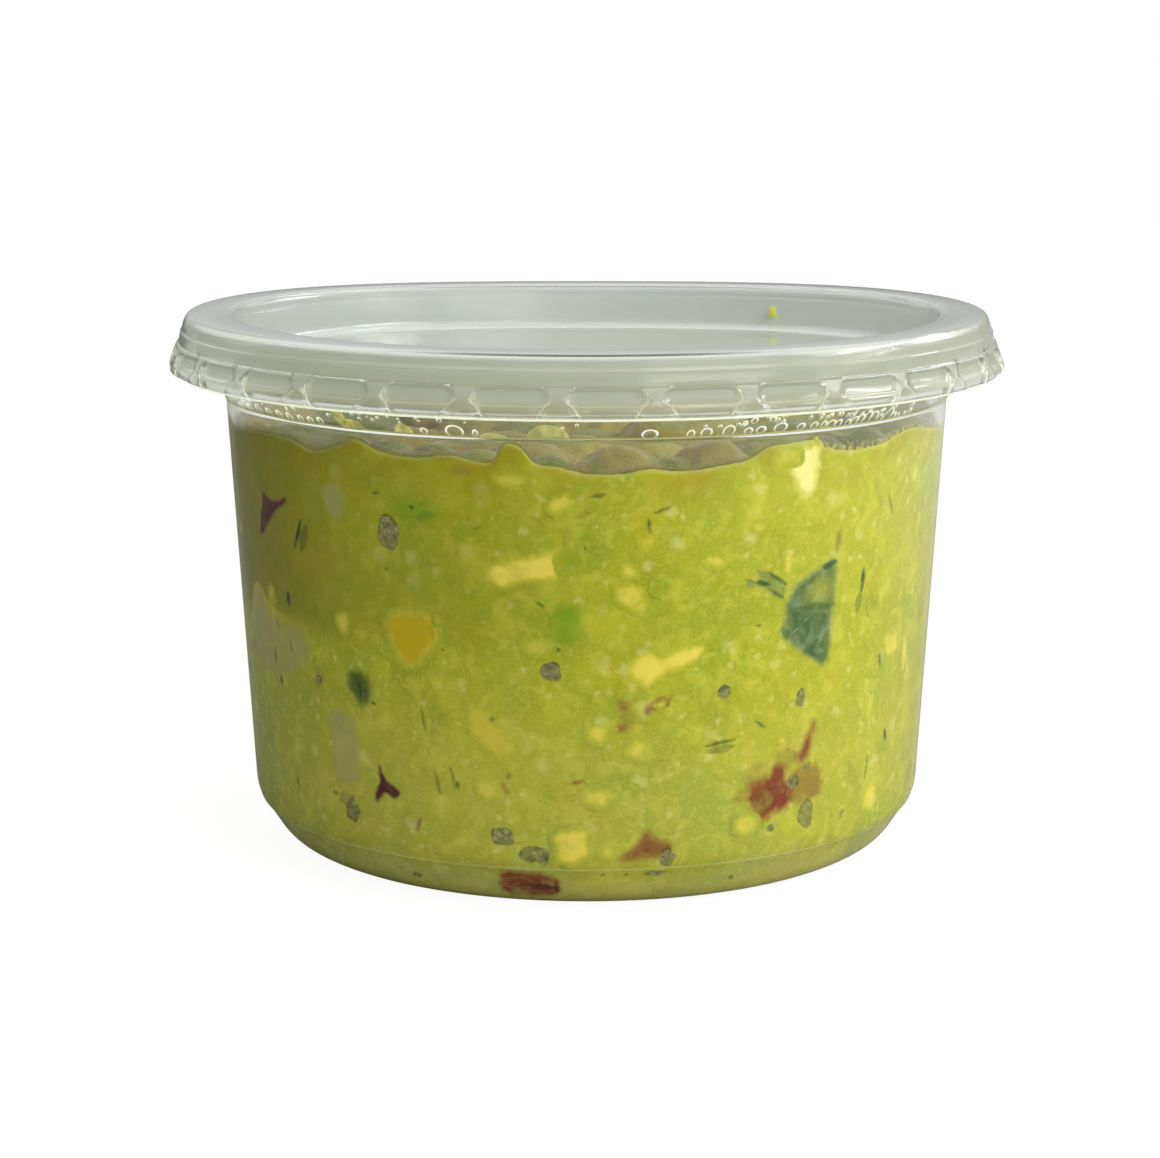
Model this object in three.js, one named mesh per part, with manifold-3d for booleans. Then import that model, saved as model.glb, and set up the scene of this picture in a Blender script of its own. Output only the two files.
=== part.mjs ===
// A shut clear deli tub filled with chunky guacamole.
// Millimetres, +Z up. The origin is the middle of the tub's base, on the surface it stands on.
// Azimuths are in degrees about +Z: 0 is the front (-Y) and 90 the right side (+X).

import * as THREE from 'three';
import { mergeVertices } from 'three/addons/utils/BufferGeometryUtils.js';
import Module from 'manifold-3d';

const wasm = await Module();
wasm.setup();

// ---- Driving dimensions ----

const LID_RADIUS = 58.5;         // at the widest point of the skirt
const LID_TOP = 74.66;           // overall height
const LID_WALL = 0.6;
const LID_MOUTH_RADIUS = 49.3;   // opening of the sunk middle
const LID_SINK = 6.7;            // depth of the sunk middle
const LID_SAG = 1.2;             // the rim sits this much lower at the back
const GRIP_COUNT = 30;           // flat recesses round the skirt
const GRIP_EDGE = 0.3;           // degrees over which a recess steps down from its rib
const GRIP_PHASE = 2.5;          // azimuth of the first recess's middle

const CUP_WALL = 0.7;
const CUP_FACETS = 60;
const FLOOR_TOP = 1.6;           // inside of the cup's floor
const STEP_HEIGHT = 6.2;         // crease where the foot meets the wall
const LEDGE_HEIGHT = 63.2;       // stacking ledge at the top of the wall
const RIM_HEIGHT = 73.7;

const GAP = 0.3;                 // left between touching pieces
const FILL_HEIGHT = 60.0;        // level of the guacamole at the wall

// The cup's outside from the foot to the ledge, as [radius, height].
const CUP_OUTSIDE = [
  [40.2, 0],
  [43.4, 1.6],
  [46.5, STEP_HEIGHT],
  [47.3, 8.1],
  [50.6, LEDGE_HEIGHT],
];

// ---- Colours ----

const plastic = (color) => new THREE.MeshStandardMaterial({
  color, roughness: 0.12, metalness: 0, transparent: true, opacity: 0.3,
});
const food = (color, roughness = 0.45) => new THREE.MeshStandardMaterial({
  color, roughness, metalness: 0,
});

const MATERIALS = {
  lid: plastic('#c9cbc4'),
  cup: plastic('#dfe2dc'),
  guacamole: food('#a8ad2b'),
  tomato: food('#8c3b26', 0.3),
  redOnion: food('#5a2230'),
  whiteOnion: food('#c6c184'),
  avocado: food('#d3cb55'),
  herb: food('#2c5a36'),
  chilli: food('#6f9c22'),
};

// ---- Small tools ----

const radians = THREE.MathUtils.degToRad;

/** A repeatable stream of numbers between 0 and 1. */
function seededRandom(seed) {
  let state = seed;
  return () => {
    state = (Math.imul(state, 1664525) + 1013904223) >>> 0;
    return state / 4294967296;
  };
}

/** The point at an azimuth, radius and height. */
function polar(azimuth, radius, height) {
  const angle = radians(azimuth);
  return [radius * Math.sin(angle), -radius * Math.cos(angle), height];
}

/** Linear interpolation of a radius along an outline of [radius, height] points. */
function radiusAt(outline, height) {
  const last = outline.length - 1;
  let upper = outline.findIndex(([, z]) => z >= height);
  if (upper < 0) upper = last;
  if (upper === 0) return outline[0][0];
  const [r0, z0] = outline[upper - 1];
  const [r1, z1] = outline[upper];
  const share = Math.min(1, (height - z0) / (z1 - z0));
  return r0 + share * (r1 - r0);
}

/** Bell-shaped rise of 1 at no distance, falling away over the given width. */
const bell = (distance, width) => Math.exp(-((distance / width) ** 2));

/** The shorter way round between two azimuths. */
function azimuthDistance(a, b) {
  const turn = Math.abs(a - b) % 360;
  return Math.min(turn, 360 - turn);
}

/** A mesh geometry from a list of points and a list of triangles. */
function geometryOf(points, triangles) {
  const geometry = new THREE.BufferGeometry();
  geometry.setAttribute('position', new THREE.Float32BufferAttribute(points.flat(), 3));
  geometry.setIndex(triangles.flat());
  return geometry;
}

/**
 * A closed surface from rows of points stacked from pole to pole. Each row is a function of the
 * column number that gives a point, and each pole is one point.
 */
function closedRows(firstPole, rows, lastPole, columns) {
  const points = [firstPole];
  for (const row of rows) {
    for (let column = 0; column < columns; column += 1) points.push(row(column));
  }
  points.push(lastPole);
  const at = (row, column) => 1 + row * columns + (column % columns);
  const last = points.length - 1;
  const triangles = [];
  for (let column = 0; column < columns; column += 1) {
    triangles.push([0, at(0, column), at(0, column + 1)].reverse());
    for (let row = 0; row + 1 < rows.length; row += 1) {
      const [a, b] = [at(row, column), at(row, column + 1)];
      const [c, d] = [at(row + 1, column), at(row + 1, column + 1)];
      triangles.push([a, b, d], [a, d, c]);
    }
    triangles.push([last, at(rows.length - 1, column), at(rows.length - 1, column + 1)]);
  }
  return geometryOf(points, triangles);
}

/** A manifold solid from a closed geometry. */
function solidOf(geometry) {
  const bare = geometry.clone();
  bare.deleteAttribute('normal');
  bare.deleteAttribute('uv');
  const merged = mergeVertices(bare, 1e-4);
  return new wasm.Manifold(new wasm.Mesh({
    numProp: 3,
    vertProperties: new Float32Array(merged.attributes.position.array),
    triVerts: new Uint32Array(merged.index.array),
  }));
}

/** A geometry from a manifold solid. */
function geometryFrom(solid) {
  const mesh = solid.getMesh();
  const geometry = new THREE.BufferGeometry();
  geometry.setAttribute('position', new THREE.BufferAttribute(mesh.vertProperties, 3));
  geometry.setIndex(new THREE.BufferAttribute(mesh.triVerts, 1));
  return geometry;
}

/** How far the rim sits below its level height at an azimuth. */
function sagAt(azimuth) {
  return LID_SAG * Math.max(0, -Math.cos(radians(azimuth))) ** 3;
}

// ---- Cup ----

const CUP_INSIDE = CUP_OUTSIDE.slice(1).map(([radius, height]) => [
  radius - CUP_WALL, height + 0.4,
]);

/** A thin cup with a foot ring, a slightly conical wall, a ledge, a collar and a rim. */
function cupGeometry() {
  const collarRadius = 53.4;
  const collarFoot = 64.8;
  const outline = [
    [33.5, 0.9],                                  // raised panel under the floor
    [34.8, 0],                                    // foot ring
    ...CUP_OUTSIDE,
    [collarRadius, collarFoot],
    [collarRadius + 0.5, RIM_HEIGHT - 1.5],
    [55.2, RIM_HEIGHT - 0.8],
    [55.2, RIM_HEIGHT],
    [collarRadius - 0.3, RIM_HEIGHT],
    [collarRadius - CUP_WALL, collarFoot + 0.4],
    ...[...CUP_INSIDE].reverse(),
    [39.8, FLOOR_TOP],
  ];
  const rows = outline.map(([radius, height]) => (column) => {
    const azimuth = (column * 360) / CUP_FACETS;
    const bend = Math.max(0, (height - collarFoot) / (RIM_HEIGHT - collarFoot));
    return polar(azimuth, radius, height - Math.min(1, bend) * sagAt(azimuth));
  });
  return closedRows([0, 0, 0.9], rows, [0, 0, FLOOR_TOP], CUP_FACETS);
}

// ---- Lid ----

/**
 * One row of the lid. Four columns make one grip: its recess lies between the inner two and the
 * rib to the next grip lies beyond the outer two.
 */
function lidRow({ rib, recess = rib, height, halfAngle = null }) {
  const pitch = 360 / GRIP_COUNT;
  const evenly = [-0.375, -0.125, 0.125, 0.375].map((share) => share * pitch);
  return (column) => {
    const place = column % 4;
    const centre = GRIP_PHASE + Math.floor(column / 4) * pitch;
    const outer = place === 0 || place === 3;
    let offset = evenly[place];
    if (halfAngle !== null) {
      offset = (place < 2 ? -1 : 1) * (halfAngle + (outer ? GRIP_EDGE : 0));
    }
    const azimuth = centre + offset;
    const radius = outer ? rib : recess;
    const share = Math.min(1, radius / LID_MOUTH_RADIUS);
    return polar(azimuth, radius, height - share * sagAt(azimuth));
  };
}

/** The skirt's rows, from the top of the grips down to the widest point. */
function gripRows(inset) {
  return [
    { rib: 57.2 - inset, height: 70.5, halfAngle: 4.2 },
    { rib: 57.95 - inset, recess: 57.1 - inset, height: 69.3, halfAngle: 5.3 },
    { rib: LID_RADIUS - inset, recess: 57.2 - inset, height: 67.8, halfAngle: 4.6 },
  ];
}

/** A press-on lid: a sunk middle, a flat ring over the rim and a flared skirt with grips. */
function lidGeometry() {
  const sunkTop = LID_TOP - LID_SINK;
  const sunkUnder = sunkTop - LID_WALL;
  const ringUnder = LID_TOP - LID_WALL;
  const lipHeight = 66.6;
  const rows = [
    { rib: 47.6, height: sunkUnder },
    { rib: 49.0, height: sunkUnder + 1.2 },
    { rib: LID_MOUTH_RADIUS + LID_WALL, height: ringUnder },
    { rib: 55.6, height: ringUnder },
    ...gripRows(LID_WALL),
    { rib: 56.2, height: lipHeight, halfAngle: 3.4 },
    { rib: 56.8, height: lipHeight, halfAngle: 3.4 },
    { rib: 58.1, recess: 56.95, height: 67.1, halfAngle: 3.8 },
    ...gripRows(0).reverse(),
    { rib: 56.4, height: 73.3 },
    { rib: 55.8, height: LID_TOP },
    { rib: LID_MOUTH_RADIUS, height: LID_TOP },
    { rib: 48.4, height: sunkTop + 0.7 },
    { rib: 47.5, height: sunkTop },
  ].map(lidRow);
  return closedRows([0, 0, sunkUnder], rows, [0, 0, sunkTop], GRIP_COUNT * 4);
}

// ---- Guacamole ----

const FILL_OUTLINE = [
  [39.6, FLOOR_TOP + GAP],
  ...CUP_INSIDE.map(([radius, height]) => [radius - GAP, height + 0.1]),
];

/** Radius of the filling, just clear of the cup's wall. */
const fillRadius = (height) => radiusAt(FILL_OUTLINE, height);

// Where the filling climbs the wall above its level, or dips below it.
const EDGE_WAVES = [
  { azimuth: -68, rise: -0.4, width: 14 },
  { azimuth: -37, rise: 2.0, width: 5 },
  { azimuth: -20, rise: 0.8, width: 5 },
  { azimuth: -11, rise: 2.5, width: 2.6 },
  { azimuth: 3, rise: -1.3, width: 13 },
  { azimuth: 31, rise: 1.9, width: 4.5 },
  { azimuth: 37, rise: 2.1, width: 2.8 },
  { azimuth: 57, rise: 1.3, width: 6 },
  { azimuth: 84, rise: -0.9, width: 9 },
  { azimuth: 108, rise: 1.6, width: 8 },
  { azimuth: 139, rise: -1.1, width: 11 },
  { azimuth: 163, rise: 1.9, width: 6 },
  { azimuth: 188, rise: 0.9, width: 9 },
  { azimuth: 214, rise: -1.2, width: 10 },
  { azimuth: 241, rise: 2.1, width: 6 },
  { azimuth: 266, rise: -0.6, width: 8 },
];

/** Height of the filling's edge against the wall. */
function edgeHeight(azimuth) {
  return EDGE_WAVES.reduce(
    (height, wave) => height + wave.rise * bell(azimuthDistance(azimuth, wave.azimuth), wave.width),
    FILL_HEIGHT,
  );
}

/** Spooned lumps and hollows of the filling's free surface. */
function surfaceLumps() {
  const random = seededRandom(7);
  return Array.from({ length: 22 }, (_, index) => {
    const azimuth = index * 137.5 + 20 * random();
    const radius = 40 * Math.sqrt((index + 0.5) / 22);
    return {
      x: radius * Math.sin(radians(azimuth)),
      y: -radius * Math.cos(radians(azimuth)),
      rise: index % 3 === 2 ? -1.1 - 0.5 * random() : 0.9 + 0.8 * random(),
      width: 5 + 3.5 * random(),
    };
  });
}

const LUMPS = surfaceLumps();

/** Height of the free surface at an azimuth and radius. */
function surfaceHeight(azimuth, radius) {
  const [x, y] = polar(azimuth, radius, 0);
  const lumps = LUMPS.reduce(
    (height, lump) => height + lump.rise * bell(Math.hypot(x - lump.x, y - lump.y), lump.width),
    0,
  );
  const nearWall = THREE.MathUtils.smoothstep(radius, 34, 48.5);
  const middle = FILL_HEIGHT - 0.9 + lumps;
  return middle + nearWall * (edgeHeight(azimuth) - middle);
}

/** The filling up to its uneven level, before the pieces in it are cut out. */
function fillGeometry() {
  const azimuthOf = (column) => (column * 360) / CUP_FACETS;
  const below = FILL_OUTLINE.slice(0, -1).map(([radius, height]) => (column) => (
    polar(azimuthOf(column), radius, height)
  ));
  const edge = (column) => {
    const height = edgeHeight(azimuthOf(column));
    return polar(azimuthOf(column), fillRadius(height), height);
  };
  const above = [46, 40, 32, 23, 14, 6].map((radius) => (column) => (
    polar(azimuthOf(column), radius, surfaceHeight(azimuthOf(column), radius))
  ));
  return closedRows(
    [0, 0, FLOOR_TOP + GAP],
    [...below, edge, ...above],
    [0, 0, surfaceHeight(0, 0)],
    CUP_FACETS,
  );
}

// ---- Pieces in the guacamole ----

/** An uneven blob or block outline in its own plane, as [across, up] points. */
function pieceOutline({ width, tall, turn = 0, corner = 0.6, sides = 8, seed = 1 }) {
  const random = seededRandom(seed * 97 + 11);
  const angle = radians(turn);
  return Array.from({ length: sides }, (_, index) => {
    const way = (2 * Math.PI * (index + 0.3 * random())) / sides;
    const [cos, sin] = [Math.cos(way), Math.sin(way)];
    const reach = 0.5 * (0.88 + 0.2 * random());
    const across = width * reach * Math.sign(cos) * Math.abs(cos) ** corner;
    const up = tall * reach * Math.sign(sin) * Math.abs(sin) ** corner;
    return [
      across * Math.cos(angle) - up * Math.sin(angle),
      across * Math.sin(angle) + up * Math.cos(angle),
    ];
  });
}

/** A lobed herb leaf, pointed at its lower end, as [across, up] points. */
function leafOutline({ width, tall }) {
  return [
    [0.26, -0.5], [0.36, -0.24], [0.42, 0.02], [0.5, 0.24], [0.38, 0.5],
    [0.14, 0.4], [-0.08, 0.24], [-0.34, 0.16], [-0.5, -0.04], [-0.38, -0.2], [-0.06, -0.3],
  ].map(([across, up]) => [across * width, up * tall]);
}

/** Both faces of an outline with sides between them, from one point function for each face. */
function slabGeometry(outline, faceOf, backOf) {
  const count = outline.length;
  const middle = outline
    .reduce(([x, y], [across, up]) => [x + across / count, y + up / count], [0, 0]);
  const points = [
    ...outline.map(faceOf), faceOf(middle), ...outline.map(backOf), backOf(middle),
  ];
  const triangles = [];
  for (let index = 0; index < count; index += 1) {
    const next = (index + 1) % count;
    const [back, backNext] = [index + count + 1, next + count + 1];
    triangles.push([count, index, next], [2 * count + 1, backNext, back]);
    triangles.push([index, back, backNext], [index, backNext, next]);
  }
  return geometryOf(points, triangles);
}

/** Moves an outline's points out from its middle by about the given distance. */
function grown(outline, distance) {
  const count = outline.length;
  const area = outline.reduce((sum, [x0, y0], index) => {
    const [x1, y1] = outline[(index + 1) % count];
    return sum + x0 * y1 - x1 * y0;
  }, 0);
  const way = Math.sign(area);
  const edgeNormal = (index) => {
    const [x0, y0] = outline[(index + count) % count];
    const [x1, y1] = outline[(index + 1) % count];
    const length = Math.hypot(x1 - x0, y1 - y0);
    return [(way * (y1 - y0)) / length, (-way * (x1 - x0)) / length];
  };
  return outline.map(([x, y], index) => {
    const [before, after] = [edgeNormal(index - 1), edgeNormal(index)];
    const [nx, ny] = [before[0] + after[0], before[1] + after[1]];
    const miter = Math.max(0.6, (nx * nx + ny * ny) / 2);
    return [x + (distance * nx) / miter, y + (distance * ny) / miter];
  });
}

/** A piece that shows through the wall: its outer face follows the cup. */
function wallPiece(piece, outline, margin = 0) {
  const depth = piece.depth ?? 3;
  const ripple = piece.ripple ?? 0;
  const onWall = (inset, shrink) => ([across, up]) => {
    const height = piece.height + up * shrink;
    const radius = fillRadius(height);
    const azimuth = piece.azimuth + THREE.MathUtils.radToDeg((across * shrink) / radius);
    const wave = ripple * (1 + Math.sin(1.3 * across + 0.9 * up));
    return polar(azimuth, radius - inset - wave, height);
  };
  if (margin > 0) {
    return slabGeometry(grown(outline, margin), onWall(-2, 1), onWall(depth + margin, 1));
  }
  return slabGeometry(outline, onWall(0.05, 1), onWall(depth, 0.85));
}

/** A piece that lies in the free surface and stands a little proud of it. */
function surfacePiece(piece, outline, margin = 0) {
  const [x, y] = polar(piece.azimuth, piece.radius, 0);
  const level = surfaceHeight(piece.azimuth, piece.radius);
  const proud = margin > 0 ? 6 : 0.8;
  const depth = (piece.depth ?? 3) + margin;
  const atHeight = (height, shrink) => ([across, up]) => [
    x + across * shrink, y + up * shrink, height,
  ];
  return slabGeometry(
    grown(outline, margin), atHeight(level + proud, 0.9), atHeight(level - depth, 1),
  );
}

// The larger pieces at the front, by azimuth and height of their middles.
const FRONT_PIECES = [
  { name: 'cilantro_leaf', kind: 'herb', azimuth: 37, height: 39.4, width: 9.6, tall: 14,
    depth: 0.8, ripple: 0.1, leaf: true },
  { name: 'cilantro_sprig', kind: 'herb', azimuth: 28.2, height: 43.9, width: 5.4, tall: 3.0,
    depth: 0.8, turn: -20 },
  { name: 'tomato_right', kind: 'tomato', azimuth: 30.5, height: 15.6, width: 6.8, tall: 7.2,
    turn: 25 },
  { name: 'tomato_foot', kind: 'tomato', azimuth: -10.3, height: 5.0, width: 8.6, tall: 4.4 },
  { name: 'tomato_low', kind: 'tomato', azimuth: 9.2, height: 10.4, width: 7.4, tall: 4.4,
    turn: 20 },
  { name: 'tomato_strip', kind: 'tomato', azimuth: 38.5, height: 21.4, width: 3.0, tall: 5.6,
    turn: -15 },
  { name: 'onion_block', kind: 'whiteOnion', azimuth: -42.4, height: 19.6, width: 5.0, tall: 9.0,
    corner: 0.35 },
  { name: 'onion_left', kind: 'whiteOnion', azimuth: -63, height: 35.5, width: 8.5, tall: 5.4 },
  { name: 'onion_upper', kind: 'whiteOnion', azimuth: -42.3, height: 52.8, width: 3.6, tall: 4.6 },
  { name: 'avocado_long', kind: 'avocado', azimuth: -8.9, height: 46.8, width: 8.4, tall: 3.2,
    corner: 0.4 },
  { name: 'avocado_middle', kind: 'avocado', azimuth: 12.4, height: 33.5, width: 10, tall: 3.8,
    turn: 12 },
  { name: 'avocado_left', kind: 'avocado', azimuth: -28.3, height: 36.8, width: 6.2, tall: 6.2 },
  { name: 'avocado_low', kind: 'avocado', azimuth: -15.3, height: 24.4, width: 5.0, tall: 6.2,
    turn: 15 },
  { name: 'avocado_right', kind: 'avocado', azimuth: 57.5, height: 32.3, width: 4.2, tall: 3.6 },
  { name: 'avocado_upper', kind: 'avocado', azimuth: 33.9, height: 57.0, width: 4.6, tall: 3.8,
    turn: 20 },
  { name: 'chilli_front', kind: 'chilli', azimuth: -2.9, height: 39.3, width: 3.4, tall: 5.2 },
  { name: 'chilli_upper', kind: 'chilli', azimuth: -26.5, height: 53.4, width: 6.4, tall: 3.2 },
  { name: 'red_onion_left', kind: 'redOnion', azimuth: -58.2, height: 49.6, width: 5.4, tall: 4.4,
    turn: 30 },
  { name: 'red_onion_low', kind: 'redOnion', azimuth: -33.8, height: 14.8, width: 3.6, tall: 5.4 },
  { name: 'herb_left', kind: 'herb', azimuth: -39.2, height: 28.4, width: 4.4, tall: 4.6,
    depth: 0.8 },
];

// Like pieces round the sides and back, spread evenly and made uneven by a seeded draw.
function backPieces() {
  const kinds = [
    'tomato', 'avocado', 'herb', 'whiteOnion', 'avocado', 'redOnion', 'tomato',
    'avocado', 'chilli', 'whiteOnion', 'tomato', 'avocado', 'herb', 'avocado',
  ];
  const random = seededRandom(41);
  return kinds.map((kind, index) => {
    const thin = kind === 'herb';
    return {
      name: `${kind.toLowerCase().replace('onion', '_onion')}_round_${index + 1}`,
      kind,
      azimuth: 80 + (200 / kinds.length) * (index + 0.5) + 4 * (random() - 0.5),
      height: 13 + 41 * ((index * 0.618 + 0.2) % 1),
      width: 5 + 3.5 * random(),
      tall: thin ? 8 : 3.8 + 2.6 * random(),
      turn: 60 * (random() - 0.5),
      depth: thin ? 0.8 : 3,
      seed: index + 20,
    };
  });
}

// Pieces that break the free surface.
const SURFACE_PIECES = [
  { name: 'tomato_top_front', kind: 'tomato', azimuth: 6, radius: 39, width: 7, tall: 6 },
  { name: 'tomato_top_left', kind: 'tomato', azimuth: -105, radius: 24, width: 8, tall: 6.5 },
  { name: 'tomato_top_back', kind: 'tomato', azimuth: 158, radius: 33, width: 7.5, tall: 6 },
  { name: 'onion_top', kind: 'whiteOnion', azimuth: 70, radius: 30, width: 7, tall: 5,
    corner: 0.4, turn: 35 },
  { name: 'avocado_top', kind: 'avocado', azimuth: -35, radius: 31, width: 9, tall: 6.5, turn: 20 },
  { name: 'avocado_top_back', kind: 'avocado', azimuth: -160, radius: 14, width: 8, tall: 6 },
];

/** Each piece's shape, and the pocket that it needs in the filling. */
function shapesOf(piece, index, build) {
  const outline = piece.leaf ? leafOutline(piece) : pieceOutline({ seed: index + 1, ...piece });
  return { piece, shape: build(piece, outline), pocket: build(piece, outline, GAP + 0.05) };
}

// ---- The whole tub ----

const pieces = [
  ...[...FRONT_PIECES, ...backPieces()].map((piece, index) => shapesOf(piece, index, wallPiece)),
  ...SURFACE_PIECES.map((piece, index) => shapesOf(piece, index + 50, surfacePiece)),
];
const filling = pieces.reduce(
  (solid, { pocket }) => solid.subtract(solidOf(pocket)),
  solidOf(fillGeometry()),
);

/** A named mesh in the tub. */
function named(name, geometry, material) {
  const mesh = new THREE.Mesh(geometry, material);
  mesh.name = name;
  return mesh;
}

const tub = new THREE.Group();
tub.add(named('cup', cupGeometry(), MATERIALS.cup));
tub.add(named('lid', lidGeometry(), MATERIALS.lid));
tub.add(named('guacamole', geometryFrom(filling), MATERIALS.guacamole));
for (const { piece, shape } of pieces) {
  tub.add(named(piece.name, shape, MATERIALS[piece.kind]));
}

export default tub;
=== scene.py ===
"""Looks for a shut clear deli tub of chunky guacamole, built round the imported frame.

Lengths are in millimetres and MM turns them into Blender's metres. Azimuths are in degrees about
+Z: 0 is the front (-Y) and 90 the right side (+X). Colours are written as display values, 0 to 255.
"""

import math
import random

import bpy
import numpy as np
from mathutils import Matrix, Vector, noise


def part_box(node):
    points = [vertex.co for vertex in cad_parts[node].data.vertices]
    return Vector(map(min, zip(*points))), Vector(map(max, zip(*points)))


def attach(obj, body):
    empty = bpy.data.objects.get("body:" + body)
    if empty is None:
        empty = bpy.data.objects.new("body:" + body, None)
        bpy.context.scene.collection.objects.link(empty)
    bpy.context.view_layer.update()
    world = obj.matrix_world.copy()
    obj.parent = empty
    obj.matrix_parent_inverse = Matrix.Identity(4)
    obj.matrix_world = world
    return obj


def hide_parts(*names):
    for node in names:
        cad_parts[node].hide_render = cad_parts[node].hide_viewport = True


MM = 0.001
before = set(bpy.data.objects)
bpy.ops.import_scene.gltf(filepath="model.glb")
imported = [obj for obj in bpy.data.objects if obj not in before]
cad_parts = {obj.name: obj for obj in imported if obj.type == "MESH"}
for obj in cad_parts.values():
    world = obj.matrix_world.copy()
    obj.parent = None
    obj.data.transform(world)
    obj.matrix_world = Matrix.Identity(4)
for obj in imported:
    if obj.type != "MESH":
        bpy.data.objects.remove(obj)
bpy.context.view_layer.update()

# ---- Driving dimensions, from the frame where it has them ----

LID_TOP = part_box("lid")[1].z / MM
LID_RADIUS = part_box("lid")[1].x / MM
LID_WALL = 0.6
LID_FLOOR = LID_TOP - 6.7
LID_RISE = 0.45         # how much higher the middle of the lid's floor is
LID_MOUTH = 49.3        # radius of the sunk middle where it opens into the flat ring
LID_SAG = 1.2           # how much lower the rim and lid are at the back
SKIRT_RADIUS = 56.4     # the lid's skirt lies outside this radius
SKIRT_TOP = 70.6        # and under this height
GRIPS = 30
GRIP_PHASE = 2.5        # azimuth of the first grip recess

RIM_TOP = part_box("cup")[1].z / MM
STEP = 6.2              # height of the crease above the foot
LEDGE = 63.2            # height of the ledge, where the collar begins
COLLAR_HEIGHTS, COLLAR_RADII = (LEDGE, 67.2), (50.1, 52.8)      # its inner face, upward
COLLAR_RADIUS = 51.0    # where a drop's width is turned into degrees

FILL_LEVEL = 60.0       # mean height of the free surface
SINK_IN = 0.35          # how far inside the cup's outer surface the filling meets the wall
LOWEST_PIECE = 0.9      # pieces against the wall reach from here up to just under the ledge

PLASTIC_IOR = 1.46
WATER_IOR = 1.33
WHITE = (1, 1, 1, 1)


# ---- Small tools ----

def polar(azimuth, radius, height):
    """Points at azimuths, radii and heights, which may be numbers or arrays."""
    angle = np.radians(azimuth)
    parts = np.broadcast_arrays(radius * np.sin(angle), -radius * np.cos(angle), height)
    return np.stack(parts, axis=-1)


def azimuth_of(points):
    """Azimuths of points, from -180 to 180."""
    return np.degrees(np.arctan2(points[:, 0], -points[:, 1]))


def wrapped(turn):
    """An angle in degrees, brought between -180 and 180."""
    return (turn + 180) % 360 - 180


def smooth_step(value, low, high):
    """0 at low and 1 at high, with a soft start and end."""
    share = np.clip((value - low) / (high - low), 0, 1)
    return share * share * (3 - 2 * share)


def sag_at(azimuth):
    """How far the rim and lid sit below their level height."""
    return LID_SAG * np.maximum(0, -np.cos(np.radians(azimuth))) ** 3


def noise_at(points, size, seed=0.0):
    """Smooth noise between about -1 and 1 at points in mm, with features of the given size."""
    shift = Vector((seed * 17.3, seed * 5.1, seed * 9.7))
    values = [noise.noise(Vector(point) / size + shift) for point in points.reshape(-1, 3)]
    return np.reshape(values, points.shape[:-1])


def rounded(corners, steps=5):
    """A [radius, height] profile whose corners, given with a fillet size, become curves."""
    profile = [np.array(corners[0][:2], float)]
    for before, corner, after in zip(corners, corners[1:], corners[2:]):
        here = np.array(corner[:2], float)
        back = np.array(before[:2]) - here
        on = np.array(after[:2]) - here
        reach = min(corner[2], 0.48 * np.linalg.norm(back), 0.48 * np.linalg.norm(on))
        start = here + back / np.linalg.norm(back) * reach
        end = here + on / np.linalg.norm(on) * reach
        for t in np.linspace(0, 1, steps + 1):
            profile.append((1 - t) ** 2 * start + 2 * t * (1 - t) * here + t * t * end)
    profile.append(np.array(corners[-1][:2], float))
    return np.array(profile)


def refined(profile, spacing, rest=None, radius=0.0, height=100.0):
    """The profile cut into steps of a spacing outside a radius and under a height, and of rest
    elsewhere."""
    points = [profile[0]]
    for start, end in zip(profile, profile[1:]):
        middle = (start + end) / 2
        gap = spacing if middle[0] > radius and middle[1] < height else rest
        count = max(1, math.ceil(np.linalg.norm(end - start) / gap))
        points.extend(start + t * (end - start) for t in np.linspace(0, 1, count + 1)[1:])
    return np.array(points)


# ---- Meshes ----

def ring_faces(rows, columns):
    """Quads of a grid of rows whose columns close into a ring."""
    row, column = np.meshgrid(np.arange(rows - 1), np.arange(columns), indexing="ij")
    across = (column + 1) % columns
    a, b = row * columns + column, row * columns + across
    return np.stack([a, b, b + columns, a + columns], axis=-1).reshape(-1, 4).tolist()


def tube_faces(rows, columns):
    """Quads of a grid that closes into a ring both ways."""
    return [[index % (rows * columns) for index in face] for face in ring_faces(rows + 1, columns)]


def closed_rows(grid, first_pole, last_pole):
    """Points and faces of a closed skin: rows of points that close into rings, and two poles."""
    rows, columns = grid.shape[:2]
    points = np.vstack([grid.reshape(-1, 3), [first_pole], [last_pole]])
    faces = ring_faces(rows, columns)
    first, last = rows * columns, rows * columns + 1
    top = (rows - 1) * columns
    for column in range(columns):
        across = (column + 1) % columns
        faces += [[first, across, column], [top + column, top + across, last]]
    return points, faces


def sharpen_rims(mesh, rim):
    """Keeps the front of a flat piece from shading like its sides."""
    ends = np.empty(len(mesh.edges) * 2, int)
    mesh.edges.foreach_get("vertices", ends)
    sharp = rim[ends.reshape(-1, 2)].min(axis=1) > 0.5
    mesh.attributes.new("sharp_edge", "BOOLEAN", "EDGE").data.foreach_set("value", sharp)


def add_object(name, points, faces, material, attributes=None):
    """A smooth mesh object in the frame, from points in mm, that rides on the tub."""
    mesh = bpy.data.meshes.new(name)
    mesh.from_pydata((np.asarray(points) * MM).tolist(), [], faces)
    mesh.polygons.foreach_set("use_smooth", [True] * len(mesh.polygons))
    for key, values in (attributes or {}).items():
        attribute = mesh.attributes.new(key, "FLOAT", "POINT")
        attribute.data.foreach_set("value", np.asarray(values, np.float32))
    mesh.materials.append(material)
    mesh.update()
    if attributes and "rim" in attributes:
        sharpen_rims(mesh, np.asarray(attributes["rim"]))
    made = bpy.data.objects.new(name, mesh)
    bpy.context.scene.collection.objects.link(made)
    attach(made, "root")
    return made


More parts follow.
